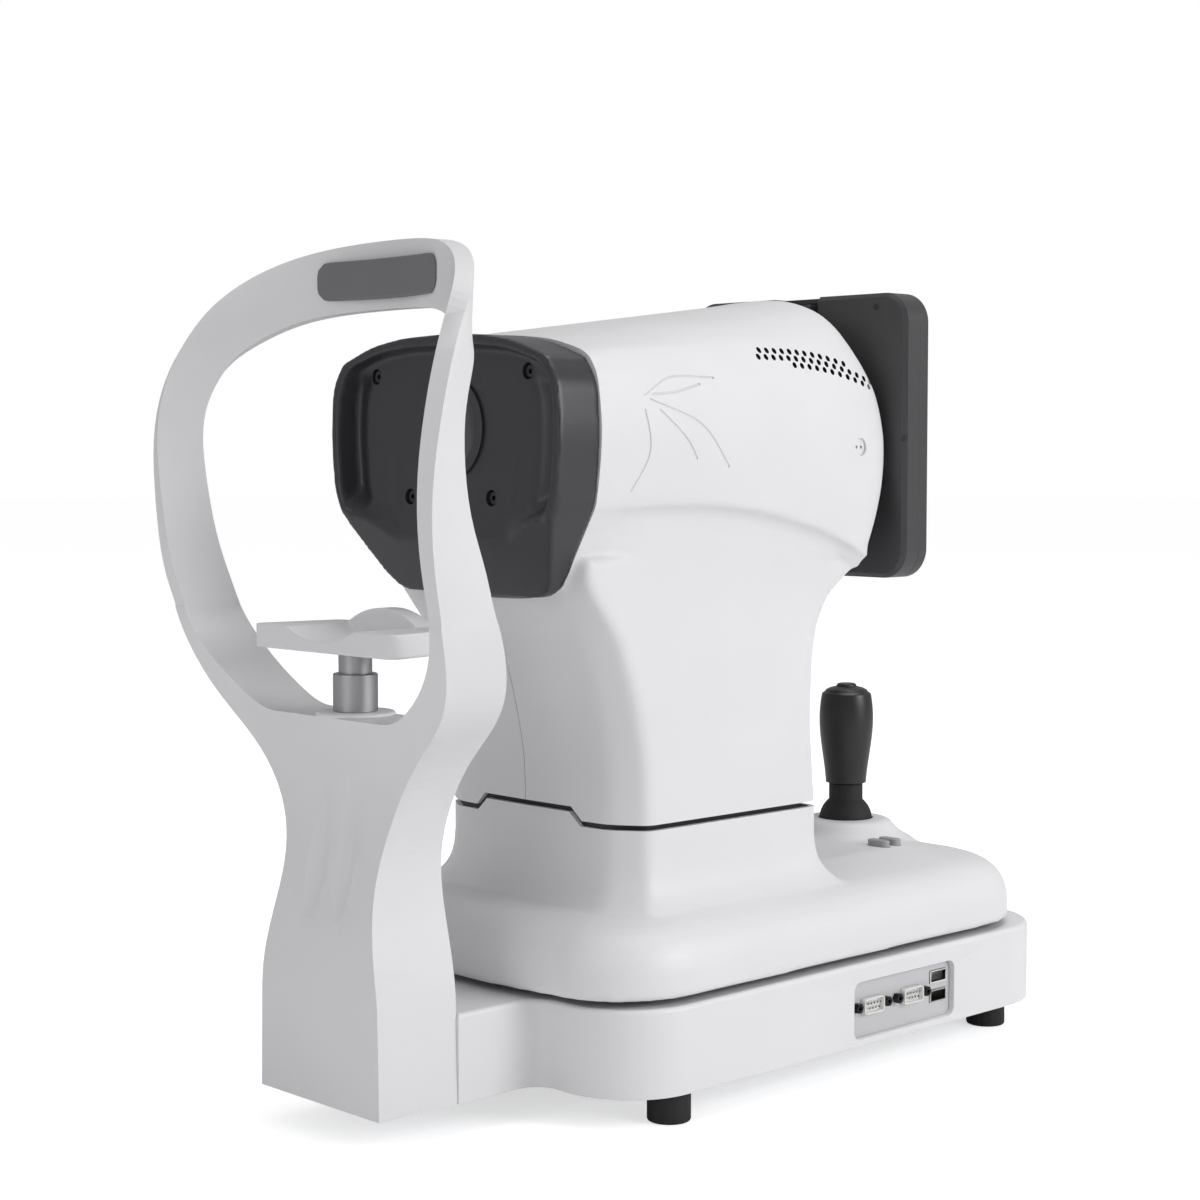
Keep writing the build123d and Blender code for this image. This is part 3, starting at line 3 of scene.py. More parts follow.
import bmesh
import bpy
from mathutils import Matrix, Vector


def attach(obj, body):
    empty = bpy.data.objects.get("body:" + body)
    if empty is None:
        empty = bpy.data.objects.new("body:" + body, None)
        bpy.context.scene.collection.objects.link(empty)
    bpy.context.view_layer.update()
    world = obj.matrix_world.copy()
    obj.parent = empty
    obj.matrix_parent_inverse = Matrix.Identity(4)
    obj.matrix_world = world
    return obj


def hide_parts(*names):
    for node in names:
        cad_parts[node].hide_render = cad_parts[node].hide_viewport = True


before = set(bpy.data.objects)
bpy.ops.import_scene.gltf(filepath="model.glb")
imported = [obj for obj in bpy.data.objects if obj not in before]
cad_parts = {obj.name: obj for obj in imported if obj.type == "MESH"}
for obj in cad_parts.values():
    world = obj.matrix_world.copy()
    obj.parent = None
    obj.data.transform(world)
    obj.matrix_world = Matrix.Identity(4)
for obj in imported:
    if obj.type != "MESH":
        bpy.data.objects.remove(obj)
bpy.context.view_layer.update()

# ---------------------------------------------------------------- room
# A wide pale floor, a white surround and large soft lights, as in a product studio. The camera stands
# off the patient's right hand, level with the lower edge of the head, and sees the chinrest first.
# The floor is matt white paint that glows a little, but only to the camera, so it lights nothing.
MM = 0.001
SURROUND_LIGHT = 0.42
FLOOR_GLOW = 0.6


def linear(hex_colour):
    """Turns an sRGB colour such as "#dcdcde" into the linear values that a shader reads."""
    channels = []
    for start in (1, 3, 5):
        value = int(hex_colour[start:start + 2], 16) / 255
        channels.append(value / 12.92 if value <= 0.04045 else ((value + 0.055) / 1.055) ** 2.4)
    return (*channels, 1.0)


def add_node(tree, kind, settings, links=()):
    """Adds a node, sets its properties and sockets, and links outputs of other nodes to it."""
    new = tree.nodes.new(kind)
    for key, value in settings.items():
        if isinstance(key, str) and hasattr(new, key):
            setattr(new, key, value)
        else:
            new.inputs[key].default_value = value
    for socket, source, output in links:
        tree.links.new(source.outputs[output], new.inputs[socket])
    return new


def new_material(name):
    """An empty node material: its tree, its shader and its object coordinates."""
    material = bpy.data.materials.new(name)
    material.use_nodes = True
    tree = material.node_tree
    return material, tree, tree.nodes["Principled BSDF"], add_node(tree, "ShaderNodeTexCoord", {})


world = bpy.data.worlds.new("studio_white")
world.use_nodes = True
sky = world.node_tree.nodes["Background"]
sky.inputs["Color"].default_value = linear("#ffffff")
seen = add_node(world.node_tree, "ShaderNodeLightPath", {})
strength = add_node(
    world.node_tree, "ShaderNodeMapRange", {"To Min": SURROUND_LIGHT, "To Max": 1.0},
    [("Value", seen, "Is Camera Ray")],
)
world.node_tree.links.new(strength.outputs["Result"], sky.inputs["Strength"])
bpy.context.scene.world = world
bpy.context.scene.view_settings.view_transform = "Standard"

bpy.ops.mesh.primitive_plane_add(size=30)
floor = bpy.context.object
floor.name = "studio_floor"
floor_paint, tree, shader, place = new_material("white_studio_floor")
shader.inputs["Base Color"].default_value = linear("#f6f6f7")
shader.inputs["Roughness"].default_value = 0.95
shader.inputs["Specular IOR Level"].default_value = 0.1
shader.inputs["Emission Color"].default_value = linear("#ffffff")
looked_at = add_node(tree, "ShaderNodeLightPath", {})
glow = add_node(
    tree, "ShaderNodeMath", {"operation": "MULTIPLY", 1: FLOOR_GLOW}, [(0, looked_at, "Is Camera Ray")]
)
tree.links.new(glow.outputs["Value"], shader.inputs["Emission Strength"])
floor.data.materials.append(floor_paint)


def soft_light(name, stand, aim, size, power):
    """A square area light on its stand, turned towards a point."""
    lamp = bpy.data.lights.new(name, "AREA")
    lamp.size = size
    lamp.energy = power
    lamp_object = bpy.data.objects.new(name, lamp)
    bpy.context.collection.objects.link(lamp_object)
    lamp_object.location = stand
    lamp_object.rotation_euler = (Vector(aim) - Vector(stand)).to_track_quat("-Z", "Y").to_euler()


soft_light("side_light", (2.2, 0.9, 1.1), (0, 0, 0.25), 1.2, 30)
soft_light("front_light", (0.3, -2.6, 0.9), (0, 0, 0.2), 1.6, 9)
soft_light("top_light", (0.2, 0.5, 2.6), (0, 0, 0.2), 1.6, 20)

camera = bpy.data.objects.new("camera", bpy.data.cameras.new("camera"))
camera.data.sensor_width = 36
camera.data.lens = 69.66
camera.data.clip_end = 50
camera.location = (0.9200, -0.8987, 0.3380)
camera.rotation_euler = (radians(90 - 3.57), 0, radians(46.65))
bpy.context.collection.objects.link(camera)
bpy.context.scene.camera = camera

# ---------------------------------------------------------------- base
# The fixed base: one white ABS moulding with a tongue that carries the chinrest. ABS is moulded in a
# tool with a fine spark-eroded grain, so it is matt, evenly pale and slightly soft at every edge.
STEP_ANGLE = radians(32)


def moulded(name, colour, roughness, grain_mm, relief, mottle=0.03):
    """Moulded plastic: a fine even grain in the surface and a faint cloudiness in the colour.

    A real grain is near 0.1 mm. It is drawn coarser, at grain_mm, so that it shows."""
    material, tree, shader, place = new_material(name)
    grain = add_node(
        tree, "ShaderNodeTexNoise", {"Scale": 1 / (grain_mm * MM), "Detail": 3.0, "Roughness": 0.6},
        [("Vector", place, "Object")],
    )
    cloud = add_node(
        tree, "ShaderNodeTexNoise", {"Scale": 14.0, "Detail": 2.0}, [("Vector", place, "Object")]
    )
    tint = add_node(
        tree, "ShaderNodeMapRange",
        {"From Min": 0.3, "From Max": 0.7, "To Min": 1 - mottle, "To Max": 1.0},
        [("Value", cloud, "Fac")],
    )
    paint = add_node(
        tree, "ShaderNodeVectorMath", {"operation": "SCALE", 0: linear(colour)[:3]},
        [("Scale", tint, "Result")],
    )
    tree.links.new(paint.outputs["Vector"], shader.inputs["Base Color"])
    sheen_patch = add_node(
        tree, "ShaderNodeMapRange",
        {"From Min": 0.3, "From Max": 0.7, "To Min": roughness - 0.05, "To Max": roughness + 0.05},
        [("Value", grain, "Fac")],
    )
    tree.links.new(sheen_patch.outputs["Result"], shader.inputs["Roughness"])
    bump = add_node(
        tree, "ShaderNodeBump", {"Strength": relief, "Distance": 0.1 * MM}, [("Height", grain, "Fac")]
    )
    tree.links.new(bump.outputs["Normal"], shader.inputs["Normal"])
    shader.inputs["IOR"].default_value = 1.53
    return material


def carried(piece, body, slot, material, *nodes):
    """Gives a new piece its material and its body, and hides the CAD nodes that it stands for. The slot
    is not used.
    """
    piece.data.materials.clear()
    piece.data.materials.append(material)
    if nodes:
        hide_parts(*nodes)
    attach(piece, body)


def in_scene(name, bm):
    """A new object with the bmesh as its mesh, shaded smooth up to a step in the surface."""
    mesh = bpy.data.meshes.new(name)
    bm.to_mesh(mesh)
    bm.free()
    piece = bpy.data.objects.new(name, mesh)
    bpy.context.collection.objects.link(piece)
    mesh.shade_smooth()
    mesh.set_sharp_from_angle(angle=STEP_ANGLE)
    return piece


def eased(piece, width_mm, segments):
    """Rounds the piece's edges a little, as any moulded or machined edge is."""
    bevel = piece.modifiers.new("eased_edges", "BEVEL")
    bevel.width = width_mm * MM
    bevel.segments = segments
    bevel.limit_method = "ANGLE"
    bevel.angle_limit = STEP_ANGLE
    bevel.harden_normals = True
    return piece


def merged_copy(node):
    """A bmesh of a CAD node with its loose triangles joined and its flat faces cleaned up."""
    bm = bmesh.new()
    bm.from_mesh(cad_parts[node].data)
    bmesh.ops.remove_doubles(bm, verts=bm.verts, dist=0.002 * MM)
    bmesh.ops.dissolve_limit(bm, angle_limit=radians(0.5), verts=bm.verts, edges=bm.edges)
    return bm


def refined(node, body, slot, material, width_mm, segments=2):
    """The CAD node itself with joined faces, smooth curves and eased edges."""
    piece = in_scene(node + "_finished", merged_copy(node))
    carried(piece, body, slot, material, node)
    return eased(piece, width_mm, segments)


white_abs = moulded("white_abs", "#dfdfe1", 0.46, 0.8, 0.25)
refined("base_shell", "base", "shell_white", white_abs, 1.2, 3)

# ---------------------------------------------------------------- underside
# A zinc-plated steel pan closes the base from below. Four solid rubber feet are screwed to it; rubber
# is dull, nearly black, and a little cloudy where it has been handled.


def sheet_metal(name, colour, roughness, spangle_mm):
    """Plated sheet: metallic, with patches of slightly different gloss where the zinc froze."""
    material, tree, shader, place = new_material(name)
    spangle = add_node(
        tree, "ShaderNodeTexVoronoi", {"Scale": 1 / (spangle_mm * MM)}, [("Vector", place, "Object")]
    )
    gloss = add_node(
        tree, "ShaderNodeMapRange",
        {"From Min": 0.0, "From Max": 1.0, "To Min": roughness - 0.07, "To Max": roughness + 0.07},
        [("Value", spangle, "Color")],
    )
    tree.links.new(gloss.outputs["Result"], shader.inputs["Roughness"])
    shader.inputs["Base Color"].default_value = linear(colour)
    shader.inputs["Metallic"].default_value = 1.0
    return material


zinc_plate = sheet_metal("zinc_plated_sheet", "#b9bcc0", 0.38, 3.0)
for name in ("base_plate", "chin_lift_motor", "power_supply", "lift_motor"):
    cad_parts[name].data.materials.clear()
    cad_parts[name].data.materials.append(zinc_plate)

black_rubber = moulded("moulded_rubber", "#151517", 0.72, 0.6, 0.35, 0.08)
refined("rubber_feet", "base", "rubber_black", black_rubber, 1.0)

# ---------------------------------------------------------------- interface panel
# A smooth grey ABS tray in the base's right flank, as the patient sees it, holds two nine-way serial
# ports in chalky white nylon with blackened, dull pins and jack screws, and two stacked USB ports in
# drawn steel with a bright nickel plate.
grey_abs = moulded("grey_abs", "#c3c3c6", 0.5, 0.6, 0.15)
refined("interface_plate", "base", "panel_grey", grey_abs, 0.3)


def bright_metal(name, colour, roughness, scratch_mm, stretch=(1, 1, 1), relief=0.05):
    """Turned, drawn or plated metal: fine marks, stretched along the way that it was worked."""
    material, tree, shader, place = new_material(name)
    turned = add_node(tree, "ShaderNodeMapping", {"Scale": stretch}, [("Vector", place, "Object")])
    marks = add_node(
        tree, "ShaderNodeTexNoise", {"Scale": 1 / (scratch_mm * MM), "Detail": 4.0},
        [("Vector", turned, "Vector")],
    )
    gloss = add_node(
        tree, "ShaderNodeMapRange",
        {"From Min": 0.3, "From Max": 0.7, "To Min": roughness - 0.06, "To Max": roughness + 0.06},
        [("Value", marks, "Fac")],
    )
    tree.links.new(gloss.outputs["Result"], shader.inputs["Roughness"])
    bump = add_node(
        tree, "ShaderNodeBump", {"Strength": relief, "Distance": 0.05 * MM}, [("Height", marks, "Fac")]
    )
    tree.links.new(bump.outputs["Normal"], shader.inputs["Normal"])
    shader.inputs["Base Color"].default_value = linear(colour)
    shader.inputs["Metallic"].default_value = 1.0
    return material


nickel = bright_metal("nickel_plated_steel", "#c6c4bf", 0.26, 0.4)
white_nylon = moulded("white_nylon", "#e4e4e2", 0.5, 0.4, 0.1)
blackened_steel = bright_metal("blackened_steel", "#2c2c2e", 0.4, 0.4)


def tinted(piece, material, chosen):
    """Gives the faces that are chosen another material."""
    piece.data.materials.append(material)
    for face in piece.data.polygons:
        if chosen(face):
            face.material_index = len(piece.data.materials) - 1


# the pins' ends are the smallest of the faces that look outwards, and the ports' tongues are a middle
# size among them
serial = refined("serial_connectors", "base", "zinc_sheet", white_nylon, 0.12)
tinted(serial, blackened_steel, lambda face: face.area < 1.2e-6 and face.normal.x > 0.8)
usb = refined("usb_ports", "base", "zinc_sheet", nickel, 0.15)
tinted(usb, white_nylon, lambda face: face.normal.x > 0.8 and 15e-6 < face.area < 30e-6)
refined("jack_screws", "base", "steel", blackened_steel, 0.2)

# ---------------------------------------------------------------- power side
# The left flank has the mains inlet and a rocker switch, both snapped into the base. They are
# black glass-filled nylon, a little glossier than the rubber.
black_nylon = moulded("black_nylon", "#1a1a1c", 0.4, 0.5, 0.15, 0.05)
refined("power_inlet", "base", "connector_black", black_nylon, 0.4)
refined("power_switch_frame", "base", "connector_black", black_nylon, 0.4)
refined("power_rocker", "rocker", "connector_black", black_nylon, 0.4)

# ---------------------------------------------------------------- chinrest frame
# Post, arms and top bar are one large moulding in the base's white ABS, bolted to the tongue. Its arms
# twist as they rise, and all its edges are well rounded, as a deep tool needs.
refined("chinrest_frame", "base", "shell_white", white_abs, 1.4, 3)

# ---------------------------------------------------------------- forehead pad
# A soft grey silicone pad pressed into the top bar. It is wiped with spirit between patients, so it
# is smooth and a little waxy, with a crowned face and no hard edge.


def skin(name, bm, voxel_mm, rounds):
    """Melts the closed forms of a bmesh into one even mesh, and softens it that many times."""
    piece = in_scene(name, bm)
    melt = piece.modifiers.new("melt", "REMESH")
    melt.mode = "VOXEL"
    melt.voxel_size = voxel_mm * MM
    soften = piece.modifiers.new("soften", "SMOOTH")
    soften.iterations = rounds
    soften.factor = 0.5
    settled = bpy.data.meshes.new_from_object(piece.evaluated_get(bpy.context.evaluated_depsgraph_get()))
    piece.modifiers.clear()
    old = piece.data
    piece.data = settled
    settled.name = name
    bpy.data.meshes.remove(old)
    settled.shade_smooth()
    return piece


silicone = moulded("silicone_rubber", "#6f6e72", 0.55, 0.5, 0.1, 0.05)
pad = skin("forehead_pad_cushion", merged_copy("forehead_pad"), 0.7, 14)
carried(pad, "base", "pad_grey", silicone, "forehead_pad")

# ---------------------------------------------------------------- chin cup and its rod
# The cup is moulded in the same white ABS, its top dished for the chin. It rides on a turned steel
# rod in a turned collar; the lathe's fine rings run around both and dull their gloss.
cup = skin("chin_cup_moulding", merged_copy("chin_cup"), 0.8, 2)
carried(cup, "chin", "face_black", white_abs, "chin_cup")
turned_steel = bright_metal("turned_steel", "#a9a9ab", 0.42, 0.5, (1, 1, 6), 0.3)
refined("chin_rod", "chin", "steel", turned_steel, 0.5)
refined("chin_collar", "base", "panel_grey", turned_steel, 0.6)
refined("chin_flange", "base", "shell_white", white_abs, 0.5)

# ---------------------------------------------------------------- stage cover
# The sliding stage wears one white moulding: an upright skirt, a rounded shoulder, a deck for the
# joystick, and a collar that the column stands in. A raised tab marks the front of the seam.
SEAM = 145.0
TAB_RISE = 7.0
WALL = 3.0
STICK_Y, STICK_HOLE_RADIUS = 176.0, 16.6
KEY_X, KEY_ROWS = 45.0, (153.5, 163.5)
SLOT_RADIUS, SLOT_REACH = 3.8, 4.0
CREASE_ANGLE = radians(40)


def closed_loop(bm, points):
    """A ring of edges through points given in millimetres."""
    corners = [bm.verts.new(Vector(point) * MM) for point in points]
    return [bm.edges.new((corners[i - 1], corners[i])) for i in range(len(corners))]


def lofted(bm, rings):
    """Skins a list of rings and closes both ends."""
    loops = [closed_loop(bm, ring) for ring in rings]
    for below, above in zip(loops, loops[1:]):
        bmesh.ops.bridge_loops(bm, edges=below + above)
    for end in (loops[0], loops[-1]):
        bmesh.ops.contextual_create(bm, geom=end)
    bmesh.ops.recalc_face_normals(bm, faces=bm.faces)
    return bm


def smooth_through(stations, steps):
    """Points on a smooth curve through the stations, with steps between each pair."""
    stations = [Vector(station) for station in stations]
    before, after = 2 * stations[0] - stations[1], 2 * stations[-1] - stations[-2]
    padded = [before, *stations, after]
    points = []
    for i in range(1, len(padded) - 2):
        a, b, c, d = padded[i - 1:i + 3]
        for step in range(steps):
            t = step / steps
            points.append(
                b + (c - a) * (t / 2) + (a * 2 - b * 5 + c * 4 - d) * (t * t / 2)
                + (b * 3 - a - c * 3 + d) * (t ** 3 / 2)
            )
    return points + [stations[-1]]


def deck_plan(z, inset):
    """The stage cover's outline at a height: bowed in front, its sides drawn in a little behind."""
    front_y, bow, rear_y = -112 + inset, 18, 231 - inset
    half_front, half_rear = 113 - inset, 107 - inset
    corner_front, corner_rear = 46 - inset * 0.6, 52 - inset * 0.7
    right = []
    for step in range(13):
        x = (half_front - corner_front) * step / 12
        right.append((x, front_y - bow * cos(pi / 2 * x / (half_front + 20)) ** 1.2))
    start_y = right[-1][1]
    for step in range(1, 13):
        turn = pi / 2 * step / 12
        right.append((
            half_front - corner_front + corner_front * sin(turn),
            start_y + (corner_front + 6) * (1 - cos(turn)),
        ))
    for step in range(0, 13):
        turn = pi / 2 * step / 12
        right.append((
            half_rear - corner_rear + corner_rear * cos(turn),
            rear_y - corner_rear + corner_rear * sin(turn),
        ))
    ring = [(x, y, z) for x, y in right] + [(-x, y, z) for x, y in reversed(right) if x > 0.01]
    return ring


def filleted(corners, steps=4):
    """A flat line with its corners rounded. Each corner is x, y and how far from it the round starts."""
    line = []
    for i, (x, y, reach) in enumerate(corners):
        corner = Vector((x, y))
        if reach == 0:
            line.append(corner)
            continue
        start = corner + (Vector(corners[i - 1][:2]) - corner).normalized() * reach
        end = corner + (Vector(corners[i + 1][:2]) - corner).normalized() * reach
        for step in range(steps + 1):
            t = step / steps
            line.append(start * (1 - t) ** 2 + corner * (2 * t * (1 - t)) + end * t ** 2)
    return line


def column_ring(z, front, bevel, rear, out, rear_half=78):
    """A level section of the column: a slightly bowed front, two broad bevels, square behind."""
    half = filleted([
        (0, front - out, 0), (30, front + 0.6 - out, 0), (60 + out * 0.4, front + 3 - out, 6),
        (78 + out, bevel - out * 0.7, 5), (rear_half + out, rear + out, 8), (0, rear + out, 0),
    ])
    return [(x, y, z) for x, y in half] + [(-x, y, z) for x, y in reversed(half) if x > 0.01]


cover_form = bmesh.new()
cover_profile = [
    (66, 1.2), (68, 0), (80, 0.3), (87, 1.8), (93, 5), (97.5, 9.6), (100.4, 15), (102.2, 21),
    (103.6, 29), (105.6, 42), (108, 56),
]
lofted(cover_form, [deck_plan(z, inset) for z, inset in cover_profile])
flare = [(92, 16), (103, 11), (107, 7), (111, 4), (116, 1.8), (122, 0.6), (130, 0), (160, 0)]
lofted(cover_form, [column_ring(z, -84.5, -69, 63, out) for z, out in flare])
boss = [(100, 46), (105.5, 41), (108.5, 35), (112, 30.5), (115.5, 28), (117.2, 26.2), (117.8, 24)]
boss_rings = []
for z, radius in boss:
    boss_rings.append([
        (radius * cos(2 * pi * i / 48), STICK_Y + radius * sin(2 * pi * i / 48), z) for i in range(48)
    ])
lofted(cover_form, boss_rings)
cover = skin("stage_cover_moulding", cover_form, 2.0, 4)


def cut_away(piece, cutter, name):
    """Takes the closed form of a bmesh out of a piece."""
    tool = in_scene(name, cutter)
    cut = piece.modifiers.new(name, "BOOLEAN")
    cut.operation = "DIFFERENCE"
    cut.solver = "EXACT"
    cut.object = tool
    done = bpy.data.meshes.new_from_object(piece.evaluated_get(bpy.context.evaluated_depsgraph_get()))
    piece.modifiers.clear()
    piece.data = done
    bpy.data.objects.remove(tool)


def block(bm, low, high):
    """A box between two corners given in millimetres."""
    made = bmesh.ops.create_cube(bm, size=1)["verts"]
    size = Vector(high) - Vector(low)
    middle = (Vector(high) + Vector(low)) / 2
    bmesh.ops.scale(bm, vec=size * MM, verts=made)
    bmesh.ops.translate(bm, vec=middle * MM, verts=made)


def drum(bm, centre, axis, radius, length, sides=32):
    """A round bar of a radius along an axis, its middle at a centre, in millimetres."""
    made = bmesh.ops.create_cone(
        bm, cap_ends=True, segments=sides, radius1=radius * MM, radius2=radius * MM, depth=length * MM
    )["verts"]
    turn = Vector((0, 0, 1)).rotation_difference(Vector(axis)).to_matrix()
    bmesh.ops.rotate(bm, cent=(0, 0, 0), matrix=turn, verts=made)
    bmesh.ops.translate(bm, vec=Vector(centre) * MM, verts=made)


def beyond_seam(z, low_half, high_half, far_z):
    """All that lies between the seam, with its raised tab in front, and a far level."""
    line = [(-200, z), (-low_half, z), (-high_half, z + TAB_RISE)]
    line += [(-x, level) for x, level in reversed(line)]
    line += [(200, far_z), (-200, far_z)]
    return lofted(bmesh.new(), [[(x, y, level) for x, level in line] for y in (-300, -30)])


def shelled(piece, wall_mm):
    """Gives an open skin its wall, inwards, as a real cover has."""
    wall = piece.modifiers.new("wall", "SOLIDIFY")
    wall.thickness = wall_mm * MM
    wall.offset = -1
    done = bpy.data.meshes.new_from_object(piece.evaluated_get(bpy.context.evaluated_depsgraph_get()))
    piece.modifiers.clear()
    piece.data = done


def trimmed(piece, point, normal):
    """Cuts a piece off at a plane, and leaves it open there. What the normal points at is lost."""
    bm = bmesh.new()
    bm.from_mesh(piece.data)
    bmesh.ops.bisect_plane(
        bm, geom=bm.verts[:] + bm.edges[:] + bm.faces[:], plane_co=Vector(point) * MM,
        plane_no=normal, clear_outer=True, dist=1e-7,
    )
    bm.to_mesh(piece.data)
    bm.free()


trimmed(cover, (0, 0, 66.3), (0, 0, -1))
trimmed(cover, (0, 0, SEAM + TAB_RISE), (0, 0, 1))
shelled(cover, WALL)
cut_away(cover, beyond_seam(SEAM, 41, 33, 500), "tab_line")
above_seam = bmesh.new()
block(above_seam, (-200, -31, SEAM), (200, 200, 400))
cut_away(cover, above_seam, "seam_behind")
stick_hole = bmesh.new()
drum(stick_hole, (0, STICK_Y, 116), (0, 0, 1), STICK_HOLE_RADIUS, 30, 64)
cut_away(cover, stick_hole, "stick_hole")
for key_y in KEY_ROWS:
    outline = []
    for i in range(24):
        turn = 2 * pi * (i + 0.5) / 24
        reach = SLOT_REACH if cos(turn) > 0 else -SLOT_REACH
        outline.append((KEY_X + reach + SLOT_RADIUS * cos(turn), key_y + SLOT_RADIUS * sin(turn)))
    rings = [[(x, y, z) for x, y in outline] for z in (95, 125)]
    cut_away(cover, lofted(bmesh.new(), rings), "key_slot")


def creased(piece):
    """Shades a piece smooth, apart from the edges where two of its faces meet at a clear angle."""
    piece.data.shade_smooth()
    piece.data.set_sharp_from_angle(angle=CREASE_ANGLE)


creased(cover)
carried(cover, "stage", "shell_white", white_abs, "stage_cover")

# ---------------------------------------------------------------- keys
# Two small grey keys, moulded in ABS with a fine even grain, stand in slots in the deck. The joystick
# hand presses them to print and to open the menu.
key_grey = moulded("key_grey_abs", "#9c9c9f", 0.48, 0.5, 0.15)
refined("print_button", "print_key", "button_grey", key_grey, 0.3)
refined("menu_button", "menu_key", "button_grey", key_grey, 0.3)

# ---------------------------------------------------------------- head covers
# Two white ABS mouldings, left and right, meet on the instrument's centre line. Each covers half of
# the measuring head and half of the column. The head's flank ends in a crisp edge over the column.
HEAD_FRONT, HEAD_REAR = -116, 123
MIDDLE_Z = 345
FLANK_EDGE_Z, FLANK_BEND_Y, FLANK_FALL = 312.4, -54, 0.00115
REAR_SWING, MOST_SWING = 0.0042, 15
HALVES_GAP = 0.25
SEAM_GAP = 3.0
VENT_PITCH, VENT_RADIUS = 6.3, 1.7
VENT_BEND_Y, VENT_BEND = 40, 420
PLUG_Y, PLUG_Z, PLUG_RADIUS = 92, 342.5, 5
ENGRAVED_RADIUS = 0.75
front_outline = [
    (0, 400), (30, 398.6), (55, 396), (75, 391), (82, 387.5), (84.5, 385), (89.4, 375.7), (92.2, 355),
    (91.8, 338), (90, 324), (88, 312.4),
]
rear_outline = [
    (0, 430), (20, 428.5), (42, 421), (59, 408), (67, 395), (72, 384), (76, 372), (79.2, 350),
    (80.4, 325), (80.2, 300), (79.4, 279),
]
undercut_front = [(3, 5), (7, 12), (12, 20), (19, 31), (25, 40), (34, 46)]
undercut_rear = [(1.4, 0.5), (4.0, 2.0), (6.8, 6), (8.6, 13), (9.6, 24), (10, 38)]


def head_ring(y, inset):
    """The head's section at a depth: a domed top, flat flanks, and an undercut below a crisp edge.

    Towards the rear the edge falls, and the section leans forward above and below its middle."""
    t = (y - HEAD_FRONT) / (HEAD_REAR - HEAD_FRONT)
    half = []
    for (x0, z0), (x1, z1) in zip(front_outline, rear_outline):
        half.append((x0 + (x1 - x0) * t, z0 + (z1 - z0) * t))
    edge_x = half[-1][0]
    edge_z = FLANK_EDGE_Z - FLANK_FALL * max(y - FLANK_BEND_Y, 0) ** 2
    half[-1] = (edge_x, edge_z)
    line = [(point.x, point.y) for point in smooth_through(half, 6)]
    floor_z = edge_z - 46 + 38 * min(max((y + 20) / 110, 0), 1)
    behind = min(max((y + 110) / 20, 0), 1)
    for (front_back, front_down), (rear_back, rear_down) in zip(undercut_front, undercut_rear):
        back = front_back + (rear_back - front_back) * behind
        down = front_down + (rear_down - front_down) * behind
        line.append((edge_x - back, max(edge_z - down, floor_z + 1)))
    line += [(40, floor_z), (0, floor_z)]
    ring = []
    for x, z in line:
        away = Vector((x, z - MIDDLE_Z))
        shrunk = away * (1 - inset / max(away.length, 1))
        swing = min(REAR_SWING * away.y ** 2, MOST_SWING) * min(max((y - 50) / 70, 0), 1) ** 2
        ring.append((max(shrunk.x, 0), y - swing, shrunk.y + MIDDLE_Z))
    return ring + [(-x, y, z) for x, y, z in reversed(ring) if x > 0.01]


head_form = bmesh.new()
depths = [
    (-119, 0), (-95, 0), (-72, 0), (-54, 0), (-36, 0), (-16, 0), (4, 0), (24, 0), (44, 0), (62, 0),
    (78, 0), (92, 0), (104, 0.5), (111, 1.4), (116, 3), (120, 5.6), (122.4, 9), (123, 13),
]
lofted(head_form, [head_ring(y, inset) for y, inset in depths])
column_stations = [
    (140, -84.5, -69, 63, 78), (165, -85, -70, 61, 78), (180, -86, -71, 59.6, 78),
    (195, -88.7, -73.5, 59, 78), (213, -93, -78, 60, 77.6), (231, -98.5, -84, 62.5, 76.6),
    (245, -104, -90, 67.5, 75), (258, -112, -100, 77, 73), (267, -117, -107, 89, 71.4),
    (276, -117.5, -112, 104, 70), (286, -117.5, -112, 106, 70),
]
lofted(head_form, [
    column_ring(z, front, bevel, rear, 0, rear_half)
    for z, front, bevel, rear, rear_half in smooth_through(column_stations, 3)
])
head = skin("head_covers", head_form, 2.0, 2)
trimmed(head, (0, HEAD_FRONT, 0), (0, -1, 0))
below_seam = beyond_seam(SEAM + SEAM_GAP, 42, 34.5, 50)

flank_holes = bmesh.new()
for count, first_y, row_z in ((12, 18.4, 394), (16, 15.3, 390.3), (11, 43.6, 386.6)):
    for i in range(count):
        y = first_y + i * VENT_PITCH
        z = row_z - max(y - VENT_BEND_Y, 0) ** 2 / VENT_BEND
        drum(flank_holes, (0, y, z), (1, 0, 0), VENT_RADIUS, 240, 12)
drum(flank_holes, (0, PLUG_Y, PLUG_Z), (1, 0, 0), PLUG_RADIUS, 240, 40)


def engraving(piece, path, radius_mm):
    """A thin round wire laid along a path on the piece's outer face, to cut an engraved line with."""
    outwards = Vector((1, 0, 0))
    line = []
    for y, z in smooth_through(path, 8):
        line.append(piece.ray_cast(Vector((200, y, z)) * MM, -outwards)[1] / MM)
    rings = []
    for i, middle in enumerate(line):
        along = (line[min(i + 1, len(line) - 1)] - line[max(i - 1, 0)]).normalized()
        across = along.cross(outwards).normalized()
        rings.append([
            middle + (across * cos(pi / 4 * k) + outwards * sin(pi / 4 * k)) * radius_mm for k in range(8)
        ])
    return lofted(bmesh.new(), rings)


bpy.context.view_layer.update()
# five fine engraved lines sweep back from the front edge of the right flank
ornament = [
    engraving(head, path, ENGRAVED_RADIUS) for path in (
        [(-84, 368), (-62, 377.5), (-28, 378)], [(-78, 368.5), (-60, 370), (-40, 374.5)],
        [(-80, 366), (-42, 354), (-20, 332)], [(-73, 361), (-54, 347), (-45, 336)],
        [(-84, 361), (-81, 340), (-93, 320)],
    )
]
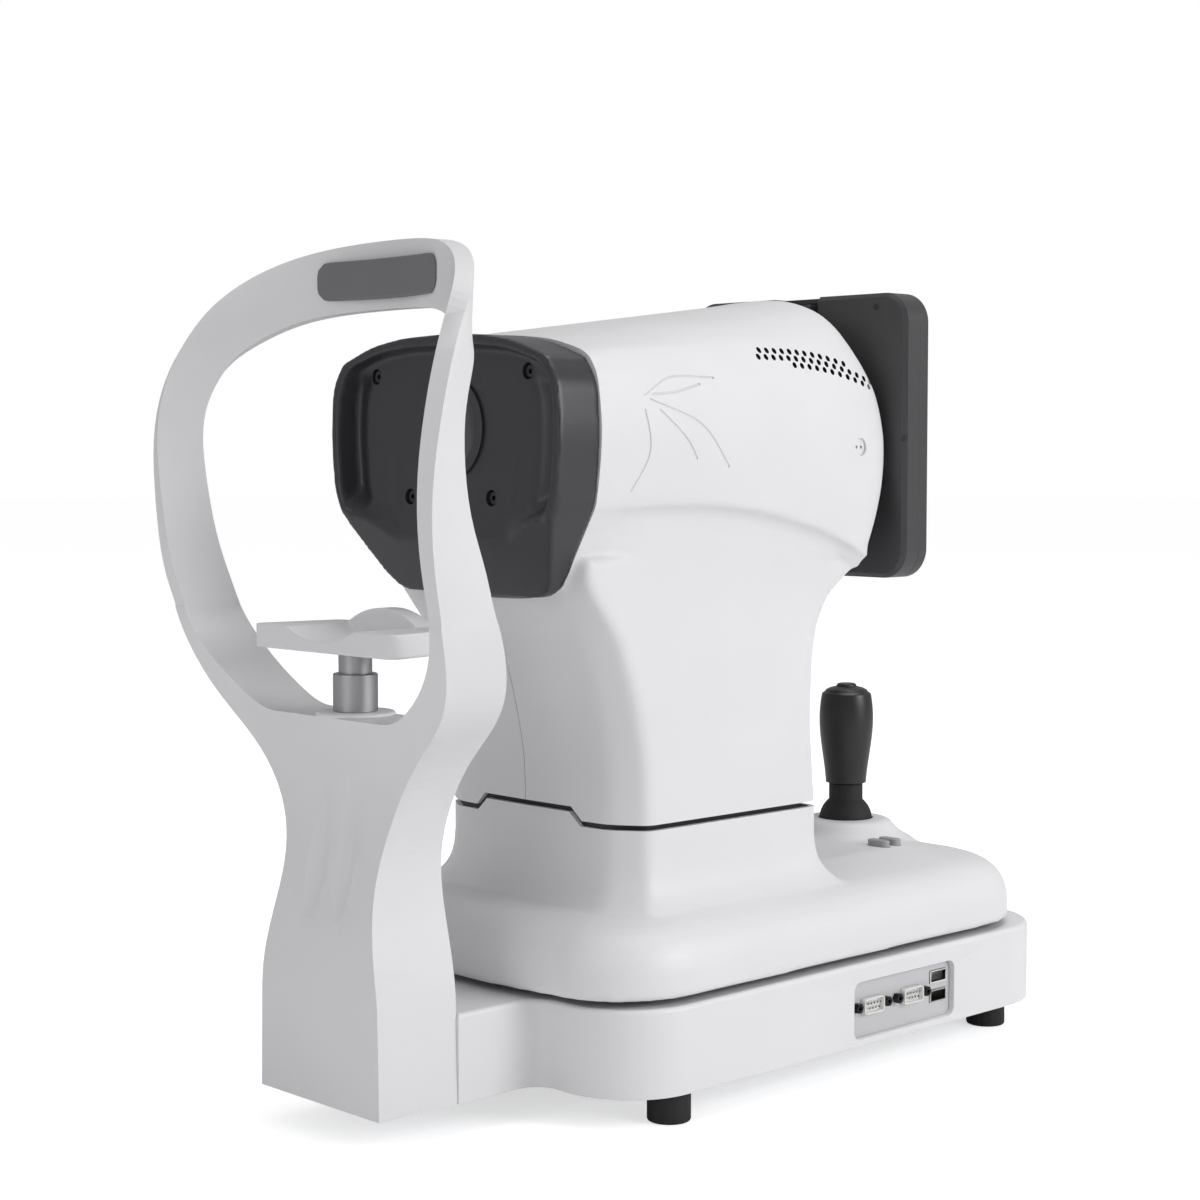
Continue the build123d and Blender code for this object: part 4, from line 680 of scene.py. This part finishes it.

# painted shade: a dark, dull grey on the inside of the head and on the walls of its vents stands in for
# the shade that falls there
vent_shade_paint = moulded("painted_vent_shade", "#2a2a2c", 0.7, 0.8, 0.2)


def in_painted_shade(face, side):
    """Whether a face of a cover gets the painted shade: inside the head, and on the walls of its vents.
    """
    inner = face.center.z > 0.33 and face.center.y < 0.1 and face.normal.x * side < -0.15
    in_vent_rows = face.center.z > 0.375 and 0.01 < face.center.y < 0.106 and abs(face.center.x) > 0.055
    return inner or (in_vent_rows and abs(face.normal.x) < 0.25)


for side, name, node in (
    (-1, "head_cover_left_moulding", "head_cover_left"),
    (1, "head_cover_right_moulding", "head_cover_right"),
):
    half = bpy.data.objects.new(name, head.data.copy())
    bpy.context.collection.objects.link(half)
    trimmed(half, (side * HALVES_GAP, 0, 0), (-side, 0, 0))
    trimmed(half, (0, 0, SEAM + SEAM_GAP), (0, 0, -1))
    shelled(half, WALL)
    cut_away(half, below_seam.copy(), "seam_tab")
    cut_away(half, flank_holes.copy(), "flank_holes")
    if side > 0:
        for wire in ornament:
            cut_away(half, wire, "engraved_line")
    creased(half)
    carried(half, "head", "shell_white", white_abs, node)
    # the inside of the head and the walls of its vents are painted dark grey, as painted shade
    tinted(half, vent_shade_paint, lambda face: in_painted_shade(face, side))
below_seam.free()
flank_holes.free()
bpy.data.objects.remove(head)

# ---------------------------------------------------------------- seam and neck
# A matt dark grey ABS sleeve stands inside the column and hides the gap when the head is raised.
# A small white plug closes the transport screw's hole in each flank of the head.
dark_sleeve = moulded("dark_grey_abs", "#2b2b2d", 0.6, 0.6, 0.2)
refined("column_sleeve", "stage", "connector_black", dark_sleeve, 0.4)
refined("side_plugs", "head", "shell_white", white_abs, 0.2)

# ---------------------------------------------------------------- face plate
# A satin black ABS moulding closes the head towards the patient. Its rim frames a sunken field, open
# at the bottom, where the plate slopes back to leave room for the nose and chin. Four screws in deep
# wells hold it, and a ring in the middle holds the window.
satin_black = moulded("satin_black_abs", "#2e2d32", 0.36, 0.6, 0.12, 0.05)
FIELD_Y, RIM_Y, PLATE_BACK = -136, -145, -116
EDGE_ROUND = 3.4
CHANNEL_DEPTH, CHIN_STEP = 5.5, 7.4
RIM_INSETS = (0, 0.3, 0.9, 1.8, 2.6, EDGE_ROUND, 4.6, 5.6, 6.6, 7.6, 8.6, 10, 12, 14, 16, 18, 20, 23)
FIELD_STEPS, FIELD_RADIUS = 17, 26
CHIN_Y, CHIN_Z = -143.5, 309
WINDOW_Z, WINDOW_RADIUS = 352, 22
WELL_RADIUS, WELL_LENGTH = 4.2, 6.8
plate_outline = [
    (0, 399.4, 0), (30, 398.6, 8), (56, 395, 10), (81, 386.5, 3), (89.6, 374.5, 7), (91.8, 348, 12),
    (88.4, 314, 8), (77, 294, 8), (65, 274, 5), (56, 266.5, 5), (0, 266, 0),
]


def ramp(value, low, high):
    """0 below low, 1 above high, and an even S-curve between them."""
    t = min(max((value - low) / (high - low), 0), 1)
    return t * t * (3 - 2 * t)


def plate_depth(x, z, inset):
    """How far forward the plate's surface stands, from its place and its distance to the outline.

    A channel runs down each side inside the rim. Below CHIN_Z the plate slopes back, 1 in 2."""
    lift = max(x - 60, 0) * 0.5
    low = 1 - ramp(z, 298 + lift, 313 + lift)
    side = ramp(x, 58, 72) * (1 - ramp(z, 372, 384))
    floor = FIELD_Y + CHANNEL_DEPTH * side * (1 - ramp(inset, 11, 23))
    upper = floor + (RIM_Y - floor) * (1 - ramp(inset, 4.6, 8.6))
    lower = FIELD_Y - CHIN_STEP * ramp(x, 42, 68)
    y = upper + (lower - upper) * low
    if inset < EDGE_ROUND:
        y += EDGE_ROUND - sqrt(EDGE_ROUND ** 2 - (EDGE_ROUND - inset) ** 2)
    return max(y, CHIN_Y + 0.5 * max(CHIN_Z - z, 0), RIM_Y)


def drawn_in(point, reach, inset):
    """A point moved along its ray until it is reach from the plate's middle, on the plate's face."""
    x, z = PLATE_MIDDLE + (point - PLATE_MIDDLE).normalized() * reach
    return (x, plate_depth(x, z, inset), z)


PLATE_MIDDLE = Vector((0, MIDDLE_Z))
corners = filleted(plate_outline, 6)
edge = []
for corner, following in zip(corners, corners[1:]):
    parts = max(int((following - corner).length / 4), 1)
    edge += [corner.lerp(following, i / parts) for i in range(parts)]
edge.append(corners[-1])
rings = [[(point.x, PLATE_BACK, point.y) for point in edge]]
for inset in RIM_INSETS:
    rings.append([drawn_in(point, (point - PLATE_MIDDLE).length - inset, inset) for point in edge])
for step in range(1, FIELD_STEPS):
    t = step / FIELD_STEPS
    rings.append([
        drawn_in(
            point, ((point - PLATE_MIDDLE).length - RIM_INSETS[-1]) * (1 - t) + FIELD_RADIUS * t, 30
        )
        for point in edge
    ])
plate = bmesh.new()
lofted(plate, [
    [(max(x, 0), y, z) for x, y, z in ring] + [(-x, y, z) for x, y, z in reversed(ring[1:-1])]
    for ring in rings
])
plate_piece = skin("face_plate_moulding", plate, 1.3, 2)
wells = bmesh.new()
for x, z in ((60.5, 379.4), (-60.5, 379.4), (32.5, 316.4), (-32.5, 316.4)):
    drum(wells, (x, FIELD_Y, z), (0, 1, 0), WELL_RADIUS, WELL_LENGTH)
cut_away(plate_piece, wells, "screw_wells")
window_seat = bmesh.new()
drum(window_seat, (0, FIELD_Y, WINDOW_Z), (0, 1, 0), WINDOW_RADIUS + 0.1, 8, 96)
cut_away(plate_piece, window_seat, "window_seat")
creased(plate_piece)
carried(plate_piece, "head", "face_black", satin_black, "face_plate")
refined("face_plate_screws", "head", "steel", black_nylon, 0.3)
refined("window_ring", "head", "face_black", satin_black, 0.4)

# ---------------------------------------------------------------- window
# The measuring window is coated optical glass, dark because the housing behind it is black. Polished
# glass is nearly free of grain, so only a thin film of dust varies its gloss.


def coated_glass(name, colour, roughness):
    """Glass with a coat that tints its reflection. A faint film of dust varies its gloss."""
    material, tree, shader, place = new_material(name)
    film = add_node(
        tree, "ShaderNodeTexNoise", {"Scale": 60.0, "Detail": 2.0}, [("Vector", place, "Object")]
    )
    gloss = add_node(
        tree, "ShaderNodeMapRange",
        {"From Min": 0.35, "From Max": 0.65, "To Min": roughness, "To Max": roughness + 0.05},
        [("Value", film, "Fac")],
    )
    tree.links.new(gloss.outputs["Result"], shader.inputs["Roughness"])
    shader.inputs["Base Color"].default_value = linear(colour)
    shader.inputs["Coat Weight"].default_value = 0.6
    shader.inputs["Coat Roughness"].default_value = 0.03
    shader.inputs["IOR"].default_value = 1.52
    return material


window_coat = coated_glass("coated_window_glass", "#26242c", 0.06)
refined("front_window", "head", "window_glass", window_coat, 0.3)

# ---------------------------------------------------------------- joystick
# A rubber dome covers the gimbal, and a hard black polyamide grip with a moulded waist turns on the
# shaft. The button on top takes the reading. Polyamide takes a faint gloss from the hand.
grip_black = moulded("black_polyamide", "#141416", 0.36, 0.7, 0.2, 0.06)
refined("joystick_dome", "stick", "rubber_black", black_rubber, 0.4)
refined("joystick_grip", "grip", "face_black", grip_black, 0.5)
refined("trigger_button", "trigger", "face_black", black_nylon, 0.4)

# ---------------------------------------------------------------- display
# A dark grey ABS housing in two halves around the glass touch panel, on a short hinge behind the head.
# Four black caps on its back cover the screws that hold the halves together.
display_abs = moulded("dark_display_abs", "#39393b", 0.42, 0.7, 0.18, 0.05)
refined("display_back", "display", "display_dark", display_abs, 0.8, 3)
refined("display_bezel", "display", "display_dark", display_abs, 0.8, 3)
refined("display_bracket", "head", "display_dark", display_abs, 0.6)
CAP_Y, CAP_RADIUS, CAP_LENGTH = 127.2, 1.8, 0.8
screw_caps = bmesh.new()
for x, z in ((62, 422), (-62, 422), (83, 347), (-83, 347)):
    drum(screw_caps, (x, CAP_Y, z), (0, 1, 0), CAP_RADIUS, CAP_LENGTH, 20)
carried(in_scene("display_screw_caps", screw_caps), "display", "display_dark", black_nylon)
screen = coated_glass("touch_panel_glass", "#08080a", 0.05)
refined("lcd_panel", "display", "screen_glass", screen, 0.2)

# ---------------------------------------------------------------- works inside
# What the covers hide keeps its CAD shape and gets the finish of the real part: aluminium, ground
# steel and brass with fine marks along the cut, glossy green glass-epoxy boards, polished lenses.
aluminium = bright_metal("machined_aluminium", "#b4b6b9", 0.34, 0.6, (1, 5, 1))
ground_steel = bright_metal("ground_steel", "#a4a5a8", 0.24, 0.4, (4, 1, 1))
brass = bright_metal("machined_brass", "#b08a45", 0.3, 0.5, (4, 1, 1))
board = moulded("glass_epoxy_board", "#0f4a2b", 0.45, 0.9, 0.2, 0.2)
lens_glass = coated_glass("polished_lens", "#9aa6b2", 0.02)
inside = {
    aluminium: (
        "cross_slide_frame", "stage_plate", "objective_barrel", "optical_bench", "beam_splitter",
        "fixation_unit", "lift_carriage",
    ),
    ground_steel: (
        "chin_lift_screw", "gear_racks", "pinion_axle", "guide_posts", "lift_screw", "joystick_shaft",
        "display_hinge_pin",
    ),
    brass: ("drive_pinions", "gimbal_ring"),
    board: ("interface_board", "main_board", "led_ring"),
    black_nylon: ("joystick_socket", "camera_module"),
    lens_glass: ("objective_lens",),
}
for finish, names in inside.items():
    for name in names:
        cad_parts[name].data.materials.clear()
        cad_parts[name].data.materials.append(finish)
